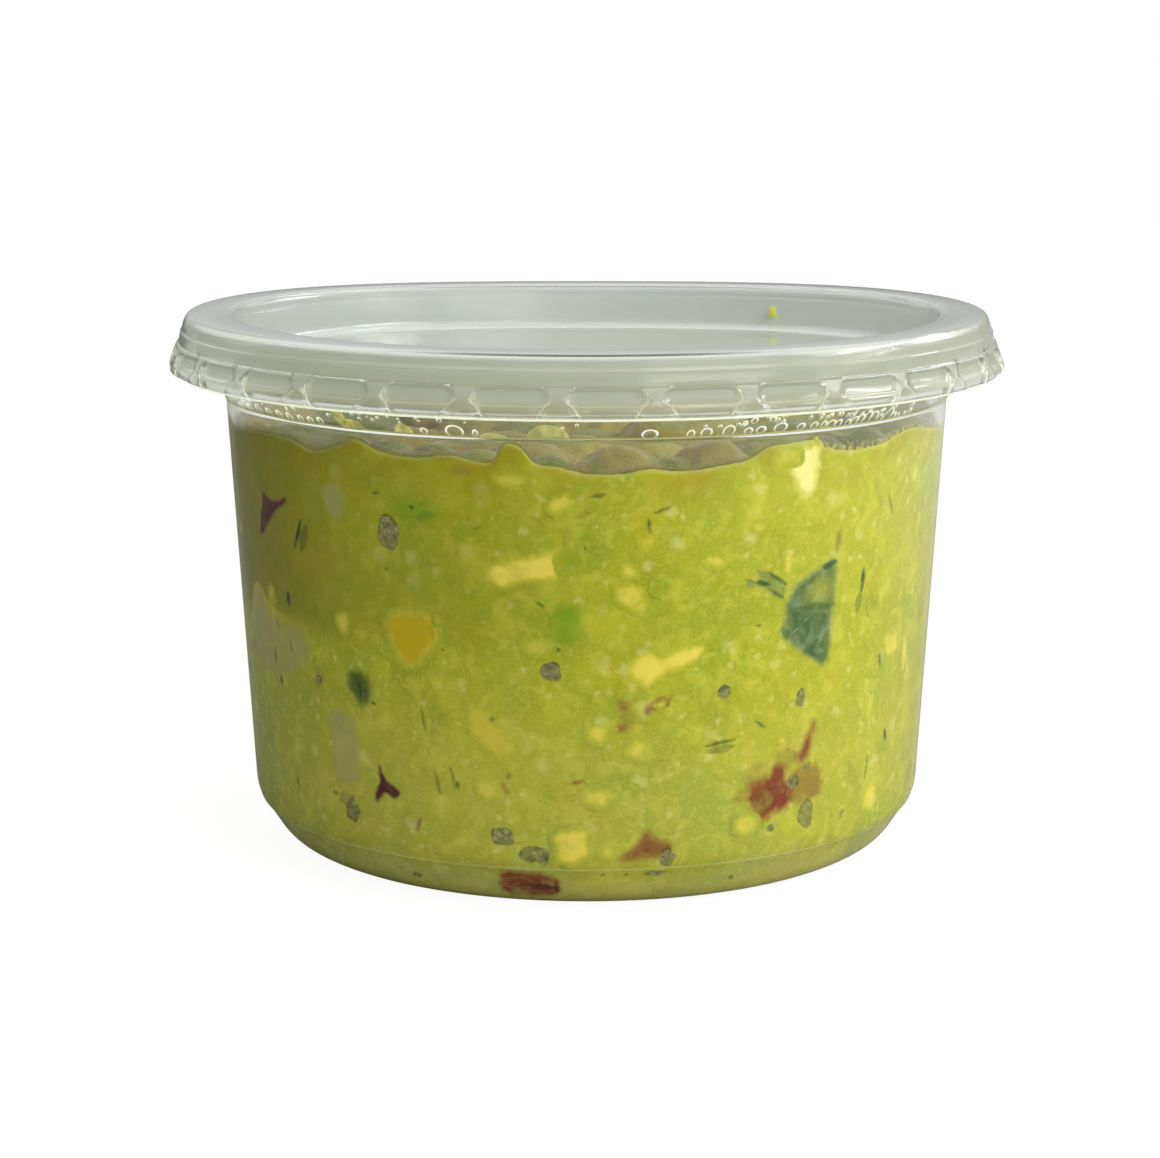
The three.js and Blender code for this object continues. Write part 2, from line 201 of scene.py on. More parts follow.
class Heap:
    """Many small closed pieces gathered into one mesh."""

    def __init__(self):
        self.points, self.faces, self.attributes, self.count = [], [], {}, 0

    def add(self, points, faces, attributes):
        self.faces.extend([[self.count + index for index in face] for face in faces])
        self.points.append(points)
        self.count += len(points)
        for key, values in attributes.items():
            self.attributes.setdefault(key, []).append(values)

    def build(self, name, material, slot):
        joined = {key: np.concatenate(values) for key, values in self.attributes.items()}
        made = add_object(name, np.vstack(self.points), self.faces, material, joined)
        return made


# ---- Node trees ----

def colour(red, green, blue):
    """A linear colour from display values of 0 to 255."""
    shares = [channel / 255 for channel in (red, green, blue)]
    return tuple(s / 12.92 if s <= 0.04045 else ((s + 0.055) / 1.055) ** 2.4 for s in shares) + (1,)


class Tree:
    """A node tree, built by short calls that return output sockets."""

    def __init__(self, name, owner=None):
        self.owner = owner or bpy.data.materials.new(name)
        self.owner.use_nodes = True
        self.nodes = self.owner.node_tree.nodes
        self.links = self.owner.node_tree.links
        self.nodes.clear()

    def node(self, kind, inputs=None, output=0, **settings):
        made = self.nodes.new("ShaderNode" + kind)
        for key, value in settings.items():
            setattr(made, key, value)
        for key, value in (inputs or {}).items():
            if isinstance(value, bpy.types.NodeSocket):
                self.links.new(value, made.inputs[key])
            else:
                made.inputs[key].default_value = value
        return made.outputs[output]

    def math(self, operation, a, b=0.0, clamp=False):
        return self.node("Math", {0: a, 1: b}, operation=operation, use_clamp=clamp)

    def times(self, a, b):
        return self.math("MULTIPLY", a, b)

    def vector(self, operation, a, b=(0, 0, 0), output=0):
        second = "Scale" if operation == "SCALE" else 1
        return self.node("VectorMath", {0: a, second: b}, output, operation=operation)

    def span(self, value, low, high):
        """0 at low and 1 at high, softly."""
        inputs = {"Value": value, "From Min": low, "From Max": high}
        return self.node("MapRange", inputs, interpolation_type="SMOOTHSTEP")

    def blend(self, factor, a, b):
        return self.node("Mix", {0: factor, 6: a, 7: b}, 2, data_type="RGBA")

    def over(self, base, cover, share, tint):
        """The base with a share of a tint over it, where the cover is 1."""
        return self.blend(self.times(cover, share), base, tint)

    def place(self, shift=0.0):
        """The place on the object in mm, moved so that each use differs."""
        here = self.node("TexCoord", output="Object")
        inputs = {"Vector": here, "Scale": (1 / MM,) * 3, "Location": (shift, shift * 0.7, -shift)}
        return self.node("Mapping", inputs)

    def noise(self, place, size, detail=2.0, output=0, distortion=0.0):
        inputs = {"Vector": place, "Scale": 1 / size, "Detail": detail, "Distortion": distortion}
        return self.node("TexNoise", inputs, output)

    def patches(self, shift, size, low, high, detail=2.0, distortion=0.0):
        """Soft patches: 0 where the noise is low and 1 where it is high."""
        return self.span(self.noise(self.place(shift), size, detail, 0, distortion), low, high)

    def warped(self, place, size, reach):
        """The place pushed about by noise, for uneven outlines."""
        push = self.vector("SUBTRACT", self.noise(place, size, output="Color"), (0.5,) * 3)
        return self.vector("ADD", place, self.vector("SCALE", push, reach))

    def grains(self, place, size, radius, share):
        """1 inside scattered grains and 0 outside: a share of the cells of a size holds one, and
        the grains are up to the given radius."""
        inputs = {"Vector": place, "Scale": 1 / size}
        distance = self.node("TexVoronoi", inputs, "Distance")
        number = self.node("TexVoronoi", inputs, "Color")
        draws = self.node("SeparateColor", {0: number}).node
        large = self.math("POWER", draws.outputs[1], 2.5)
        reach = self.times(self.math("ADD", large, 0.25), 0.8 * radius / size)
        inside = self.span(self.math("DIVIDE", distance, reach), 1.1, 0.2)
        return self.times(inside, self.math("LESS_THAN", draws.outputs[0], share))

    def ray(self, *kinds):
        """1 for rays of any of the kinds."""
        found = [self.node("LightPath", output=f"Is {kind} Ray") for kind in kinds]
        return found[0] if len(found) == 1 else self.math("MAXIMUM", *found)

    def attribute(self, name):
        return self.node("Attribute", output="Fac", attribute_name=name)

    def mix_shader(self, factor, a, b):
        return self.node("MixShader", {0: factor, 1: a, 2: b})

    def both_sides(self, tint, **inputs):
        """Light that a thin cloudy thing throws back, and light that it lets through."""
        near = self.node("BsdfDiffuse", {"Color": tint, **inputs})
        return near, self.node("BsdfTranslucent", {"Color": tint})

    def straight(self, tint=WHITE):
        return self.node("BsdfTransparent", {"Color": tint})

    def glow(self, tint, cover, behind):
        """Something thin and wet that gathers light from both sides, over what is behind it."""
        near, through = self.both_sides(tint)
        return self.mix_shader(cover, behind, self.node("AddShader", {0: near, 1: through}))

    def surface(self, shader):
        is_world = isinstance(self.owner, bpy.types.World)
        made = self.nodes.new("ShaderNodeOutputWorld" if is_world else "ShaderNodeOutputMaterial")
        self.links.new(shader, made.inputs["Surface"])
        return self.owner


# Rays that pass straight through thin things: shadows, and soft bounced light.
SOFT_RAYS = ("Shadow", "Diffuse")
# Rays that reach the eye, also through clear plastic.
EYE_RAYS = ("Camera", "Transmission")


# ---- Plastic ----

def soft_normal(tree, keep):
    """A normal that keeps only a share of the surface's own, because haze glows from within."""
    own = tree.node("NewGeometry", output="Normal")
    return tree.vector("ADD", tree.vector("SCALE", own, keep), (0.0, -0.35 * (1 - keep), 1 - keep))


def plastic(name, haze, edge_haze, cloud_colour, tint, roughness, strip=(0.62, 0.9), skirt=None,
            keep=0.15, glow=0.0, shine=0.5, level_share=1.0):
    """Clear plastic with a cloudy share. Lamps and soft bounced light pass straight through.

    Faces seen at a slant are cloudier, and level parts have only a share of the haze. Creases are
    painted highlight lines: cloudier, and glowing, as are thick rounded rims, which gather light from
    both sides. A lid's skirt has its own haze, and its warmer cloud colour is painted light from the
    mash under it.
    """
    tree = Tree(name)
    if skirt is not None:
        skirt_haze, skirt_painted_glow = skirt
        flat = tree.vector("MULTIPLY", tree.place(), (1, 1, 0))
        outer = tree.span(tree.vector("LENGTH", flat, output="Value"), SKIRT_RADIUS - 1.8, SKIRT_RADIUS)
        cloud_colour = tree.blend(outer, cloud_colour, skirt_painted_glow)
        haze = tree.math("ADD", haze, tree.times(outer, skirt_haze - haze))
    uneven = {"Value": tree.noise(tree.place(), 14.0), "To Min": 0.85, "To Max": 1.15}
    cloud = tree.times(tree.node("MapRange", uneven), haze)
    own = tree.node("NewGeometry", output="Normal")
    level = tree.math("ABSOLUTE", tree.node("SeparateXYZ", {0: own}, "Z"))
    clearer = tree.times(tree.span(level, 0.5, 0.9), 1 - level_share)
    cloud = tree.times(cloud, tree.math("SUBTRACT", 1.0, clearer))
    facing = tree.node("LayerWeight", {"Blend": 0.5}, "Facing")
    grazing = tree.times(tree.span(facing, *strip), edge_haze)
    # Painted highlight lines along creases make the plastic cloudier and glowing there.
    crease_highlight = tree.attribute("crease_highlight")
    share = tree.math("MAXIMUM", tree.math("MAXIMUM", cloud, grazing), crease_highlight, clamp=True)
    clear = tree.node("BsdfPrincipled", {
        "Base Color": tint, "Roughness": roughness, "IOR": PLASTIC_IOR, "Transmission Weight": 1.0,
    })
    near, through = tree.both_sides(cloud_colour, Normal=soft_normal(tree, keep))
    milky = tree.mix_shader(0.36, near, through)
    bright = tree.node("AddShader", {0: near, 1: through})
    cloudy = tree.mix_shader(tree.math("MAXIMUM", crease_highlight, glow, clamp=True), milky, bright)
    gloss = tree.node("BsdfGlossy", {"Color": WHITE, "Roughness": roughness})
    fresnel = tree.times(tree.node("Fresnel", {"IOR": PLASTIC_IOR}), 2 * shine)
    body = tree.mix_shader(share, clear, tree.mix_shader(fresnel, cloudy, gloss))
    return tree.surface(tree.mix_shader(tree.ray(*SOFT_RAYS), body, tree.straight(tint)))


# The cup's yellowish cloud colour is painted light from the mash behind it; it shows on the grazing edges
# and on the painted highlight at the step.
CUP_PLASTIC = plastic(
    "cup_plastic", 0.02, 0.3, colour(236, 238, 184), (0.97, 0.98, 0.96, 1), 0.04, (0.8, 0.88),
    keep=0.9, shine=0.15,
)
# The skirt's warmer cloud colour is painted light from the mash under it.
LID_PLASTIC = plastic(
    "lid_plastic", 0.56, 0.82, colour(232, 238, 230), (0.95, 0.96, 0.94, 1), 0.085,
    skirt=(0.38, colour(230, 233, 206)), level_share=0.4,
)
# The lip bead glows all over as a painted highlight line.
LIP_PLASTIC = plastic(
    "lid_lip_plastic", 0.85, 0.85, colour(254, 255, 244), (0.97, 0.98, 0.97, 1), 0.05, glow=1.0,
)
LEDGE_PLASTIC = plastic(
    "cup_ledge_plastic", 0.8, 0.8, colour(206, 208, 150), (0.97, 0.98, 0.97, 1), 0.05,
    keep=0.9, shine=0.15,
)


# ---- Cup ----

CUP_OUTSIDE = rounded([
    (0, 0.9), (33.5, 0.9, 0.5), (34.8, 0, 0.5), (40.2, 0, 2.2), (43.4, 1.6, 2.2),
    (46.2, STEP - 0.3, 0.4), (46.75, STEP + 0.2, 0.4), (47.3, 8.1, 1.6), (50.6, LEDGE, 0.5),
    (53.4, 66.9, 1.4), (53.9, RIM_TOP - 1.5, 0.5), (55.2, RIM_TOP - 0.8, 0.3),
    (55.2, RIM_TOP),
])
CUP_INSIDE = rounded([
    (55.2, RIM_TOP), (53.1, RIM_TOP, 0.4), (52.7, 67.2, 1.4), (49.9, LEDGE + 0.3, 0.4),
    (46.6, 8.5, 1.4), (46.0, STEP + 0.5, 0.4), (45.5, STEP, 0.4), (42.7, 2.0, 2.0),
    (39.8, 1.6, 1.2), (0, 1.6),
])


def cup_object():
    """The thin clear cup, with its foot, step, ledge, collar and rim."""
    profile = np.vstack([refined(CUP_OUTSIDE, 2.0)[1:], refined(CUP_INSIDE, 2.0)[1:-1]])
    azimuth = np.arange(0, 360, 1.0)
    radius, height = profile[:, :1], profile[:, 1:]
    lowered = smooth_step(height, 66.9, RIM_TOP) * sag_at(azimuth)
    grid = polar(azimuth, radius, height - lowered)
    # Painted highlight: a line of cloudier, glowing plastic along the step crease.
    crease_highlight = 0.4 * np.exp(-(((height - STEP - 0.1) / 0.14) ** 2)) * (radius > 45.9)
    crease_highlight = np.concatenate([np.repeat(crease_highlight, len(azimuth)), [0, 0]])
    points, faces = closed_rows(grid, (0, 0, 0.9), (0, 0, 1.6))
    made = add_object("cup_shell", points, faces, CUP_PLASTIC, {"crease_highlight": crease_highlight})
    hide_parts("cup")


# ---- Lid ----

PILL = (69.4, 1.0, 5.1)        # a grip recess: a pill of this height, end radius and half width
FOOT_TOP = (69.4, 5.0)         # under it a shallower foot narrows from this height and half width
FOOT_LOW = (66.9, 3.3)
SHELF = 68.05                  # a small shelf crosses the foot at this height


def pill_half(height):
    """Half of the pill's width at a height; under the pill it narrows on inside the foot."""
    middle, end, half = PILL
    rise = np.clip(height - middle, -end, end)
    below = np.maximum(middle - end - height, 0)
    return half - end + np.sqrt(end**2 - rise**2) - below


def grip_cuts(height):
    """How deep the pill and the foot lie below the rib at a height."""
    middle, end, _ = PILL
    rise = np.abs(height - middle) / end
    pill = (0.34 + 0.2 * np.clip(1 - rise**2, 0, 1)) * smooth_step(rise, 1.06, 0.9)
    foot = np.interp(height, [66.85, 66.98, SHELF - 0.06, SHELF + 0.02, 69.2, 69.4],
                     [0, 0.22, 0.22, 0.30, 0.28, 0])
    return pill, foot


def grip_crease_highlights(height, in_pill, in_foot):
    """Painted highlight lines along the outline of the pill and of the foot: how cloudy the plastic is made
    there.
    """
    middle, end, _ = PILL
    at_end = smooth_step(np.abs(height - middle) / end, 1.05, 0.93)
    sides = 4 * in_pill * (1 - in_pill) * (at_end > 0.05)
    ends = 4 * at_end * (1 - at_end) * in_pill
    in_height = smooth_step(height, FOOT_LOW[0] - 0.1, FOOT_LOW[0] + 0.3) * (height < FOOT_TOP[0])
    foot = 4 * in_foot * (1 - in_foot) * in_height * (1 - in_pill)
    return np.clip(0.75 * np.maximum(np.maximum(sides, 0.6 * ends), foot), 0, 0.8)


def grip_columns(height, step):
    """Azimuths of each row's points, and their shares of the pill's and the foot's depth."""
    half_pitch = math.radians(180 / GRIPS) * LID_RADIUS
    pill_in = pill_half(height) - step
    foot = np.interp(height, [FOOT_LOW[0], FOOT_TOP[0]], [FOOT_LOW[1], FOOT_TOP[1]])
    foot_in = np.maximum(foot - step / 2, pill_in + step + 0.02)
    parts = [(0 * pill_in, pill_in, 4), (pill_in, pill_in + step, 2), (pill_in + step, foot_in, 1),
             (foot_in, foot_in + step, 2), (foot_in + step, half_pitch, 2)]
    across, in_pill, in_foot = [parts[0][0]], [1.0], [1.0]
    for index, (start, end, count) in enumerate(parts):
        for t in np.linspace(0, 1, count + 1)[1:]:
            across.append(start + t * (end - start))
            in_pill.append(1.0 if index == 0 else 1 - smooth_step(t, 0, 1) if index == 1 else 0.0)
            in_foot.append(1.0 if index < 3 else 1 - smooth_step(t, 0, 1) if index == 3 else 0.0)
    across = np.concatenate(across, axis=1)
    across = np.concatenate([-across[:, -2:0:-1], across], axis=1)
    shares = [np.array(part[-2:0:-1] + part) for part in (in_pill, in_foot)]
    centres = GRIP_PHASE + np.arange(GRIPS) * 360 / GRIPS
    azimuth = centres[None, :, None] + np.degrees(across / LID_RADIUS)[:, None, :]
    return azimuth.reshape(len(height), -1), [np.tile(share, GRIPS) for share in shares]


def lid_profiles():
    """The underside from the middle to the lip, and the top from the lip to the middle."""
    floor, wide, wall = LID_FLOOR, LID_RADIUS, LID_WALL
    under = [
        (0, floor - wall + LID_RISE), (43.2, floor - wall + LID_RISE, 1.0), (44.8, floor - wall, 1.0),
        (47.9, floor - wall, 1.2), (48.9, floor + 0.5, 0.8), (LID_MOUTH + wall, LID_TOP - wall, 0.6),
        (55.2, LID_TOP - wall, 0.8), (55.8, 73.1, 0.8), (56.5, SKIRT_TOP, 0.8), (57.35, 69.3, 0.6),
        (wide - wall, 67.8, 0.5), (57.6, 67.3, 0.3), (56.3, 66.75, 0.2), (56.35, 66.6),
    ]
    over = [
        (56.35, 66.6), (56.8, 66.62, 0.05), (57.1, 66.78, 0.1), (58.3, 67.1, 0.3),
        (wide, 67.6, 0.4), (57.95, 69.3, 0.6), (57.3, 70.72, 0.25), (57.0, 70.86, 0.1),
        (56.75, 72.4, 0.2), (56.58, 72.55, 0.2), (56.35, 73.5, 0.4), (55.8, LID_TOP, 0.6),
        (50.4, LID_TOP, 0.2), (50.1, LID_TOP - 0.12, 0.2), (LID_MOUTH, LID_TOP - 0.12, 0.7),
        (48.4, floor + 0.8, 1.1), (47.3, floor, 1.1), (45.2, floor, 0.8), (43.6, floor + LID_RISE, 0.8),
        (0, floor + LID_RISE),
    ]
    return rounded(under, 2), rounded(over, 3)


def lid_object():
    """The press-on lid: a sunk middle, a flat ring and a flared skirt with grip recesses."""
    under, over = lid_profiles()
    grids, crease_highlights = [], []
    for profile, inset, step, spacing in ((under, LID_WALL, 0.4, 0.5), (over, 0.0, 0.16, 0.16)):
        rows = refined(profile, spacing, rest=12.0, radius=56.0, height=SKIRT_TOP)
        radius, height = rows[:, :1], rows[:, 1:]
        azimuth, (in_pill, in_foot) = grip_columns(height, step)
        pill, foot = grip_cuts(height)
        skirt = (radius > SKIRT_RADIUS - inset) & (height < SKIRT_TOP + 0.1)
        cut = np.maximum(in_pill * pill, in_foot * foot) * skirt
        crease_highlights.append(grip_crease_highlights(height, in_pill, in_foot) * skirt)
        lowered = np.minimum(1, radius / LID_MOUTH) * sag_at(azimuth)
        grids.append(polar(azimuth, radius - cut, height - lowered))
    grid = np.concatenate([grids[0][1:], grids[1][1:-1]])
    middle = LID_FLOOR + LID_RISE
    points, faces = closed_rows(grid, (0, 0, middle - LID_WALL), (0, 0, middle))
    crease_highlight = np.concatenate([crease_highlights[0][1:].ravel(), crease_highlights[1][1:-1].ravel(), [0, 0]])
    made = add_object("lid_shell", points, faces, LID_PLASTIC, {"crease_highlight": crease_highlight})
    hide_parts("lid")


# ---- Guacamole ----

# Height of the filling's edge against the wall, by azimuth.
EDGE_FRONT = [
    (-73, 59.9), (-60, 60.9), (-50.7, 60.8), (-45, 59.8), (-40, 60.9), (-36.4, 62), (-32.9, 61),
    (-26.2, 60.3), (-19.8, 60.9), (-15.5, 60.2), (-13.6, 60.4), (-12.2, 62.6), (-9.6, 62.2), (-7.8, 60.4),
    (-4, 59.8), (-0.5, 59), (5.3, 58.9), (8.5, 59.5), (13.3, 59.1), (19.3, 59.5), (24.7, 60.4),
    (27.4, 61.6), (31, 61.8), (34.7, 61.5), (35.8, 62.5), (36.9, 61.2), (38.4, 60.7), (45.6, 60),
    (51.7, 60.4), (56.6, 61.3), (69, 60.4),
]
EDGE_BACK = [
    (84, 59.1), (96, 60), (108, 61.6), (122, 60.1), (139, 58.9), (152, 60.2), (163, 61.9), (175, 60.4),
    (190, 60.9), (203, 59.7), (214, 58.8), (228, 60), (241, 62), (252, 60.3), (266, 59.3), (277, 60.1),
]


def edge_height(azimuth):
    """Height of the filling's edge against the wall, as a smooth curve through the list."""
    angles, heights = np.array(EDGE_FRONT + EDGE_BACK).T
    angles = np.concatenate([angles - 360, angles, angles + 360])
    heights = np.tile(heights, 3)
    wanted = wrapped(np.asarray(azimuth, float))
    left = np.searchsorted(angles, wanted, "right") - 1
    width = angles[left + 1] - angles[left]
    t = (wanted - angles[left]) / width
    start, end = heights[left], heights[left + 1]
    limit = 3 * np.abs(end - start) / width
    slope = np.gradient(heights, angles)
    out = np.clip(slope[left], -limit, limit)
    into = np.clip(slope[left + 1], -limit, limit)
    rise = 2 * t**3 - 3 * t**2 + 1
    bend = (t**3 - 2 * t**2 + t) * out + (t**3 - t**2) * into
    return rise * start + (1 - rise) * end + bend * width


def wall_radius(height):
    """Radius at which the filling meets the wall, inside the plastic."""
    keep = CUP_OUTSIDE[:, 0] > 40
    return np.interp(height, CUP_OUTSIDE[keep, 1], CUP_OUTSIDE[keep, 0]) - SINK_IN


# Lumps close behind the front wall: azimuth, radius, top, size and a number for the colour.
FRONT_LUMPS = [
    (5.2, 44.5, 61.8, 5.6, 0.33), (21.5, 44.2, 62.1, 5.2, 0.33), (13.4, 45.5, 60.2, 3.6, 0.02),
    (-6, 45, 60.6, 4.6, 0.08), (-18, 44.5, 61, 4.8, 0.68), (-12.5, 46, 60.8, 2.6, 0.3),
    (-27, 44, 61.2, 4.6, 0.08), (-36, 44, 61.4, 4.4, 0.04), (-48, 44, 61.4, 5.6, 0.05),
    (-62, 44, 61.6, 5.6, 0.06), (31, 43, 61.2, 4.2, 0.7), (44, 44, 61.2, 5.4, 0.12),
    (57, 44, 61.4, 4.4, 0.1), (13, 33, 61, 7, 0.5), (-14, 33, 60.8, 7, 0.33),
]
SCATTERED_LUMPS = 64


def surface_lumps():
    """Round lumps that make up the free surface: place, top, size and a number for the colour."""
    draw = random.Random(7)
    places = [polar(azimuth, radius, 0.0) for azimuth, radius, *_ in FRONT_LUMPS]
    shapes = [lump[2:] for lump in FRONT_LUMPS]
    for index in range(SCATTERED_LUMPS):
        azimuth = index * 137.5 + 25 * draw.random()
        radius = 49 * math.sqrt((index + 0.5) / SCATTERED_LUMPS)
        top = FILL_LEVEL - 0.7 + 1.5 * (2 * draw.random() - 1)
        size = 5.5 + 4.5 * draw.random()
        number = draw.random()
        if radius < 38 or abs(wrapped(azimuth)) >= 70:
            places.append(polar(azimuth, radius, 0.0))
            shapes.append((top, size, number))
    return np.array(places), *np.array(shapes).T


LUMPS = surface_lumps()


def lumpy_surface(azimuth, radius):
    """Height of the free surface, and the colour number there, blended softly between lumps."""
    flat = polar(azimuth, radius, 0.0)
    warp = 1.1 * np.stack([noise_at(flat, 2.2, 4), noise_at(flat, 2.2, 5)], axis=-1)
    softness = 0.35
    weight = np.full(flat.shape[:-1], np.exp(-3.4 / softness))
    toned = 0.5 * weight
    for place, top, size, number in zip(*LUMPS):
        away = np.sum((flat[..., :2] + warp - place[:2]) ** 2, axis=-1) / size**2
        share = np.exp((top - FILL_LEVEL - 2.8 * away) / softness)
        weight = weight + share
        toned = toned + share * number
    best = FILL_LEVEL + softness * np.log(weight)
    best = best + 0.16 * noise_at(flat, 1.6, 1) + 0.06 * noise_at(flat, 0.6, 2)
    edge = edge_height(azimuth)
    near_wall = np.exp(-(((wall_radius(edge) - radius) / 2.2) ** 2))
    return best + near_wall * (edge - 0.1 - best), toned / weight


def painted_shade_at(azimuth, below):
    """Painted shade: where the mash near its upper edge is painted darker and more golden, strongest on the
    left, from 0 to 1.
    """
    share = np.zeros(np.broadcast(azimuth, below).shape)
    for middle, spread, strength in ((-66, 32, 1.0), (-26, 22, 0.4), (128, 26, 0.8), (214, 30, 0.7)):
        away = wrapped(azimuth - middle) / spread
        share = np.maximum(share, strength * np.exp(-(away**2)))
    rising = 4.0 * smooth_step(azimuth, -52.0, -68.0)
    return share * smooth_step(below, 27.0 - rising, 22.5 - rising)


# The mash's soft spots: shift, size, low, high, share and colour.
SPOTS = [
    (210.0, 5.0, 0.50, 0.72, 0.50, (212, 206, 46)), (77.0, 6.5, 0.54, 0.74, 0.45, (136, 152, 22)),
    (140.0, 8.0, 0.56, 0.75, 0.50, (198, 174, 10)), (15.0, 2.6, 0.52, 0.76, 0.34, (146, 156, 22)),
    (92.0, 1.8, 0.50, 0.70, 0.44, (218, 213, 74)), (119.0, 3.4, 0.54, 0.70, 0.40, (222, 214, 70)),
]
# Its pale curds: shift, how warped, size of a cell, radius, share of the cells and of the colour.
CURDS = [(0.0, 1.6, 3.4, 1.7, 0.7, 0.5), (9.0, 0.9, 1.6, 0.75, 0.6, 0.45), (33.0, 0.4, 0.7, 0.2, 0.5, 0.3)]


def fresh_colour(tree):
    """Mashed avocado: broad patches, soft spots, pale curds, fine threads and dark specks."""
    broad = tree.patches(31.0, 18.0, 0.35, 0.65)
    base = tree.blend(broad, colour(187, 185, 22), colour(168, 179, 30))
    for shift, size, low, high, share, tint in SPOTS:
        base = tree.over(base, tree.patches(shift, size, low, high, 2.5, 0.5), share, colour(*tint))
    base = tree.over(base, tree.patches(0.0, 0.4, 0.38, 0.74, 3.0), 0.36, colour(214, 213, 84))
    for shift, push, size, radius, number, share in CURDS:
        curds = tree.grains(tree.warped(tree.place(shift), size / 3, push), size, radius, number)
        base = tree.over(base, curds, share, colour(232, 228, 128))
    line = tree.math("SUBTRACT", tree.noise(tree.place(18.0), 3.4, 1.5, distortion=1.0), 0.5)
    line = tree.span(tree.math("ABSOLUTE", line), 0.010, 0.002)
    threads = tree.times(line, tree.patches(64.0, 2.0, 0.55, 0.68, 1.0))
    base = tree.over(base, threads, 0.35, colour(222, 220, 110))
    specks = tree.grains(tree.warped(tree.place(55.0), 0.4, 0.3), 3.2, 0.3, 0.5)
    return tree.over(base, specks, 0.75, colour(66, 82, 28))


def wall_colour(tree):
    """The mash against the wall: golden below its upper edge, pale right at it, with painted shade near the
    edge on the left and painted floor light low down.
    """
    below = tree.attribute("below_edge")
    patchy = tree.patches(12.0, 6.0, 0.35, 0.65)
    rim = tree.times(tree.span(below, 6.0, 0.5), patchy)
    wall = tree.over(fresh_colour(tree), rim, 0.6, colour(178, 154, 24))
    # Painted shade: the mash toward its upper edge is darker and more golden, strongest on the left.
    shaded_gold = tree.blend(patchy, colour(124, 132, 2), colour(146, 134, 2))
    wall = tree.over(wall, tree.attribute("painted_shade"), 0.88, shaded_gold)
    # Painted reflection and bounce light of the floor: the lower wall, and the foot more, are blended
    # toward a pale colour.
    low = tree.times(tree.span(below, 24.0, 46.0), 0.07)
    foot = tree.times(tree.span(below, 53.5, 57.0), 0.14)
    wall = tree.blend(tree.math("ADD", low, foot), wall, colour(232, 222, 190))
    return tree.over(wall, tree.span(below, 0.6, 0.1), 0.45, colour(222, 214, 132))


# The free mash's colours, lump by lump: the numbers where each begins and is full, and the colour.
TONES = [
    (0.12, 0.26, (152, 126, 62)), (0.38, 0.5, (172, 152, 66)), (0.54, 0.66, (128, 128, 34)),
    (0.78, 0.9, (182, 172, 84)),
]


def free_colour(tree):
    """The mash where it lies free: greyer, browner, a little different on each lump, and darkened by
    painted shade, most on the left.
    """
    grey = colour(84, 98, 30)
    for low, high, tint in TONES:
        grey = tree.blend(tree.span(tree.attribute("tone"), low, high), grey, colour(*tint))
    grey = tree.over(grey, tree.patches(4.0, 2.2, 0.36, 0.66, 4.0), 0.45, colour(166, 148, 72))
    grey = tree.over(grey, tree.patches(44.0, 3.2, 0.5, 0.7, 3.0), 0.5, colour(112, 122, 44))
    free = tree.blend(0.85, fresh_colour(tree), grey)
    near_wall = tree.span(tree.attribute("below_edge"), -2.6, -0.3)
    free = tree.over(free, near_wall, 0.7, colour(122, 106, 48))
    # Painted shade: the free mash is darkened everywhere, and more toward the left side.
    across = tree.node("SeparateXYZ", {0: tree.place()}, "X")
    painted_free_shade = tree.math("ADD", tree.times(tree.span(across, 5.0, -30.0), 0.25), 0.14)
    return tree.blend(painted_free_shade, free, colour(40, 46, 10))


# How mash that is pressed against the wall, and mash that lies free, shine.
PRESSED = {"Roughness": 0.6, "Specular IOR Level": 0.0}
LOOSE = {"Roughness": 0.36, "Specular IOR Level": 0.25}


def guacamole_material():
    """The mash: matt where the wall presses it flat, browner and wet where it lies free."""
    tree = Tree("guacamole")
    bump = tree.node("Bump", {
        "Height": tree.noise(tree.place(), 0.7, 3.0), "Strength": 0.6, "Distance": 0.5 * MM,
    })
    pressed = tree.node("BsdfPrincipled", {"Base Color": wall_colour(tree), **PRESSED})
    loose = tree.node("BsdfPrincipled", {"Base Color": free_colour(tree), "Normal": bump, **LOOSE})
    free = tree.span(tree.attribute("free"), 0.3, 0.7)
    return tree.surface(tree.mix_shader(free, pressed, loose))


def guacamole_object():
    """The filling: flat against the wall, with an uneven edge and a lumpy free surface."""
    azimuth = np.linspace(0, 360, 620, endpoint=False)
    edge = edge_height(azimuth) + 0.12 * noise_at(polar(azimuth, 50.0, 0.0), 1.1, 3)
    foot = rounded([(0, 1.3), (38.5, 1.3, 1.0), (40.0, 0.5, 0.8), (41.4, 0.85)])[1:]
    ones = np.ones(len(azimuth))
    rows = [(radius, height, 60 * ones, 0.5 * ones) for radius, height in foot]
    for share in np.linspace(0, 1, 64)[1:]:
        height = foot[-1][1] + share * (edge - foot[-1][1])
        rows.append((wall_radius(height), height, edge - height, 0.5 * ones))
    on_wall = len(rows)
    for inward in [0.15, 0.4, 0.8, 1.3, 1.8, 2.3, 2.9, *np.linspace(3.5, 48.0, 68)]:
        radius = wall_radius(edge) - inward
        height, number = lumpy_surface(azimuth, radius)
        rows.append((radius, height, -inward * ones, number))
    grid = np.array([polar(azimuth, radius, height) for radius, height, *_ in rows])
    below, tone = (np.array([row[index] for row in rows]) for index in (2, 3))
    free = np.zeros(grid.shape[:2])
    free[on_wall + 1:] = 1
    points, faces = closed_rows(grid, (0, 0, 1.3), (0, 0, float(grid[-1, :, 2].mean())))
    values = {
        "painted_shade": (painted_shade_at(azimuth, below), 0.0, 0.0), "below_edge": (below, 60.0, -50.0),
        "free": (free, 0.0, 1.0), "tone": (tone, 0.5, 0.5),
    }
    attributes = {
        key: np.concatenate([on_rows.ravel(), at_poles]) for key, (on_rows, *at_poles) in values.items()
    }
    made = add_object("guacamole_mash", points, faces, guacamole_material(), attributes)
    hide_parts("guacamole")


# ---- Pieces that show through the wall ----

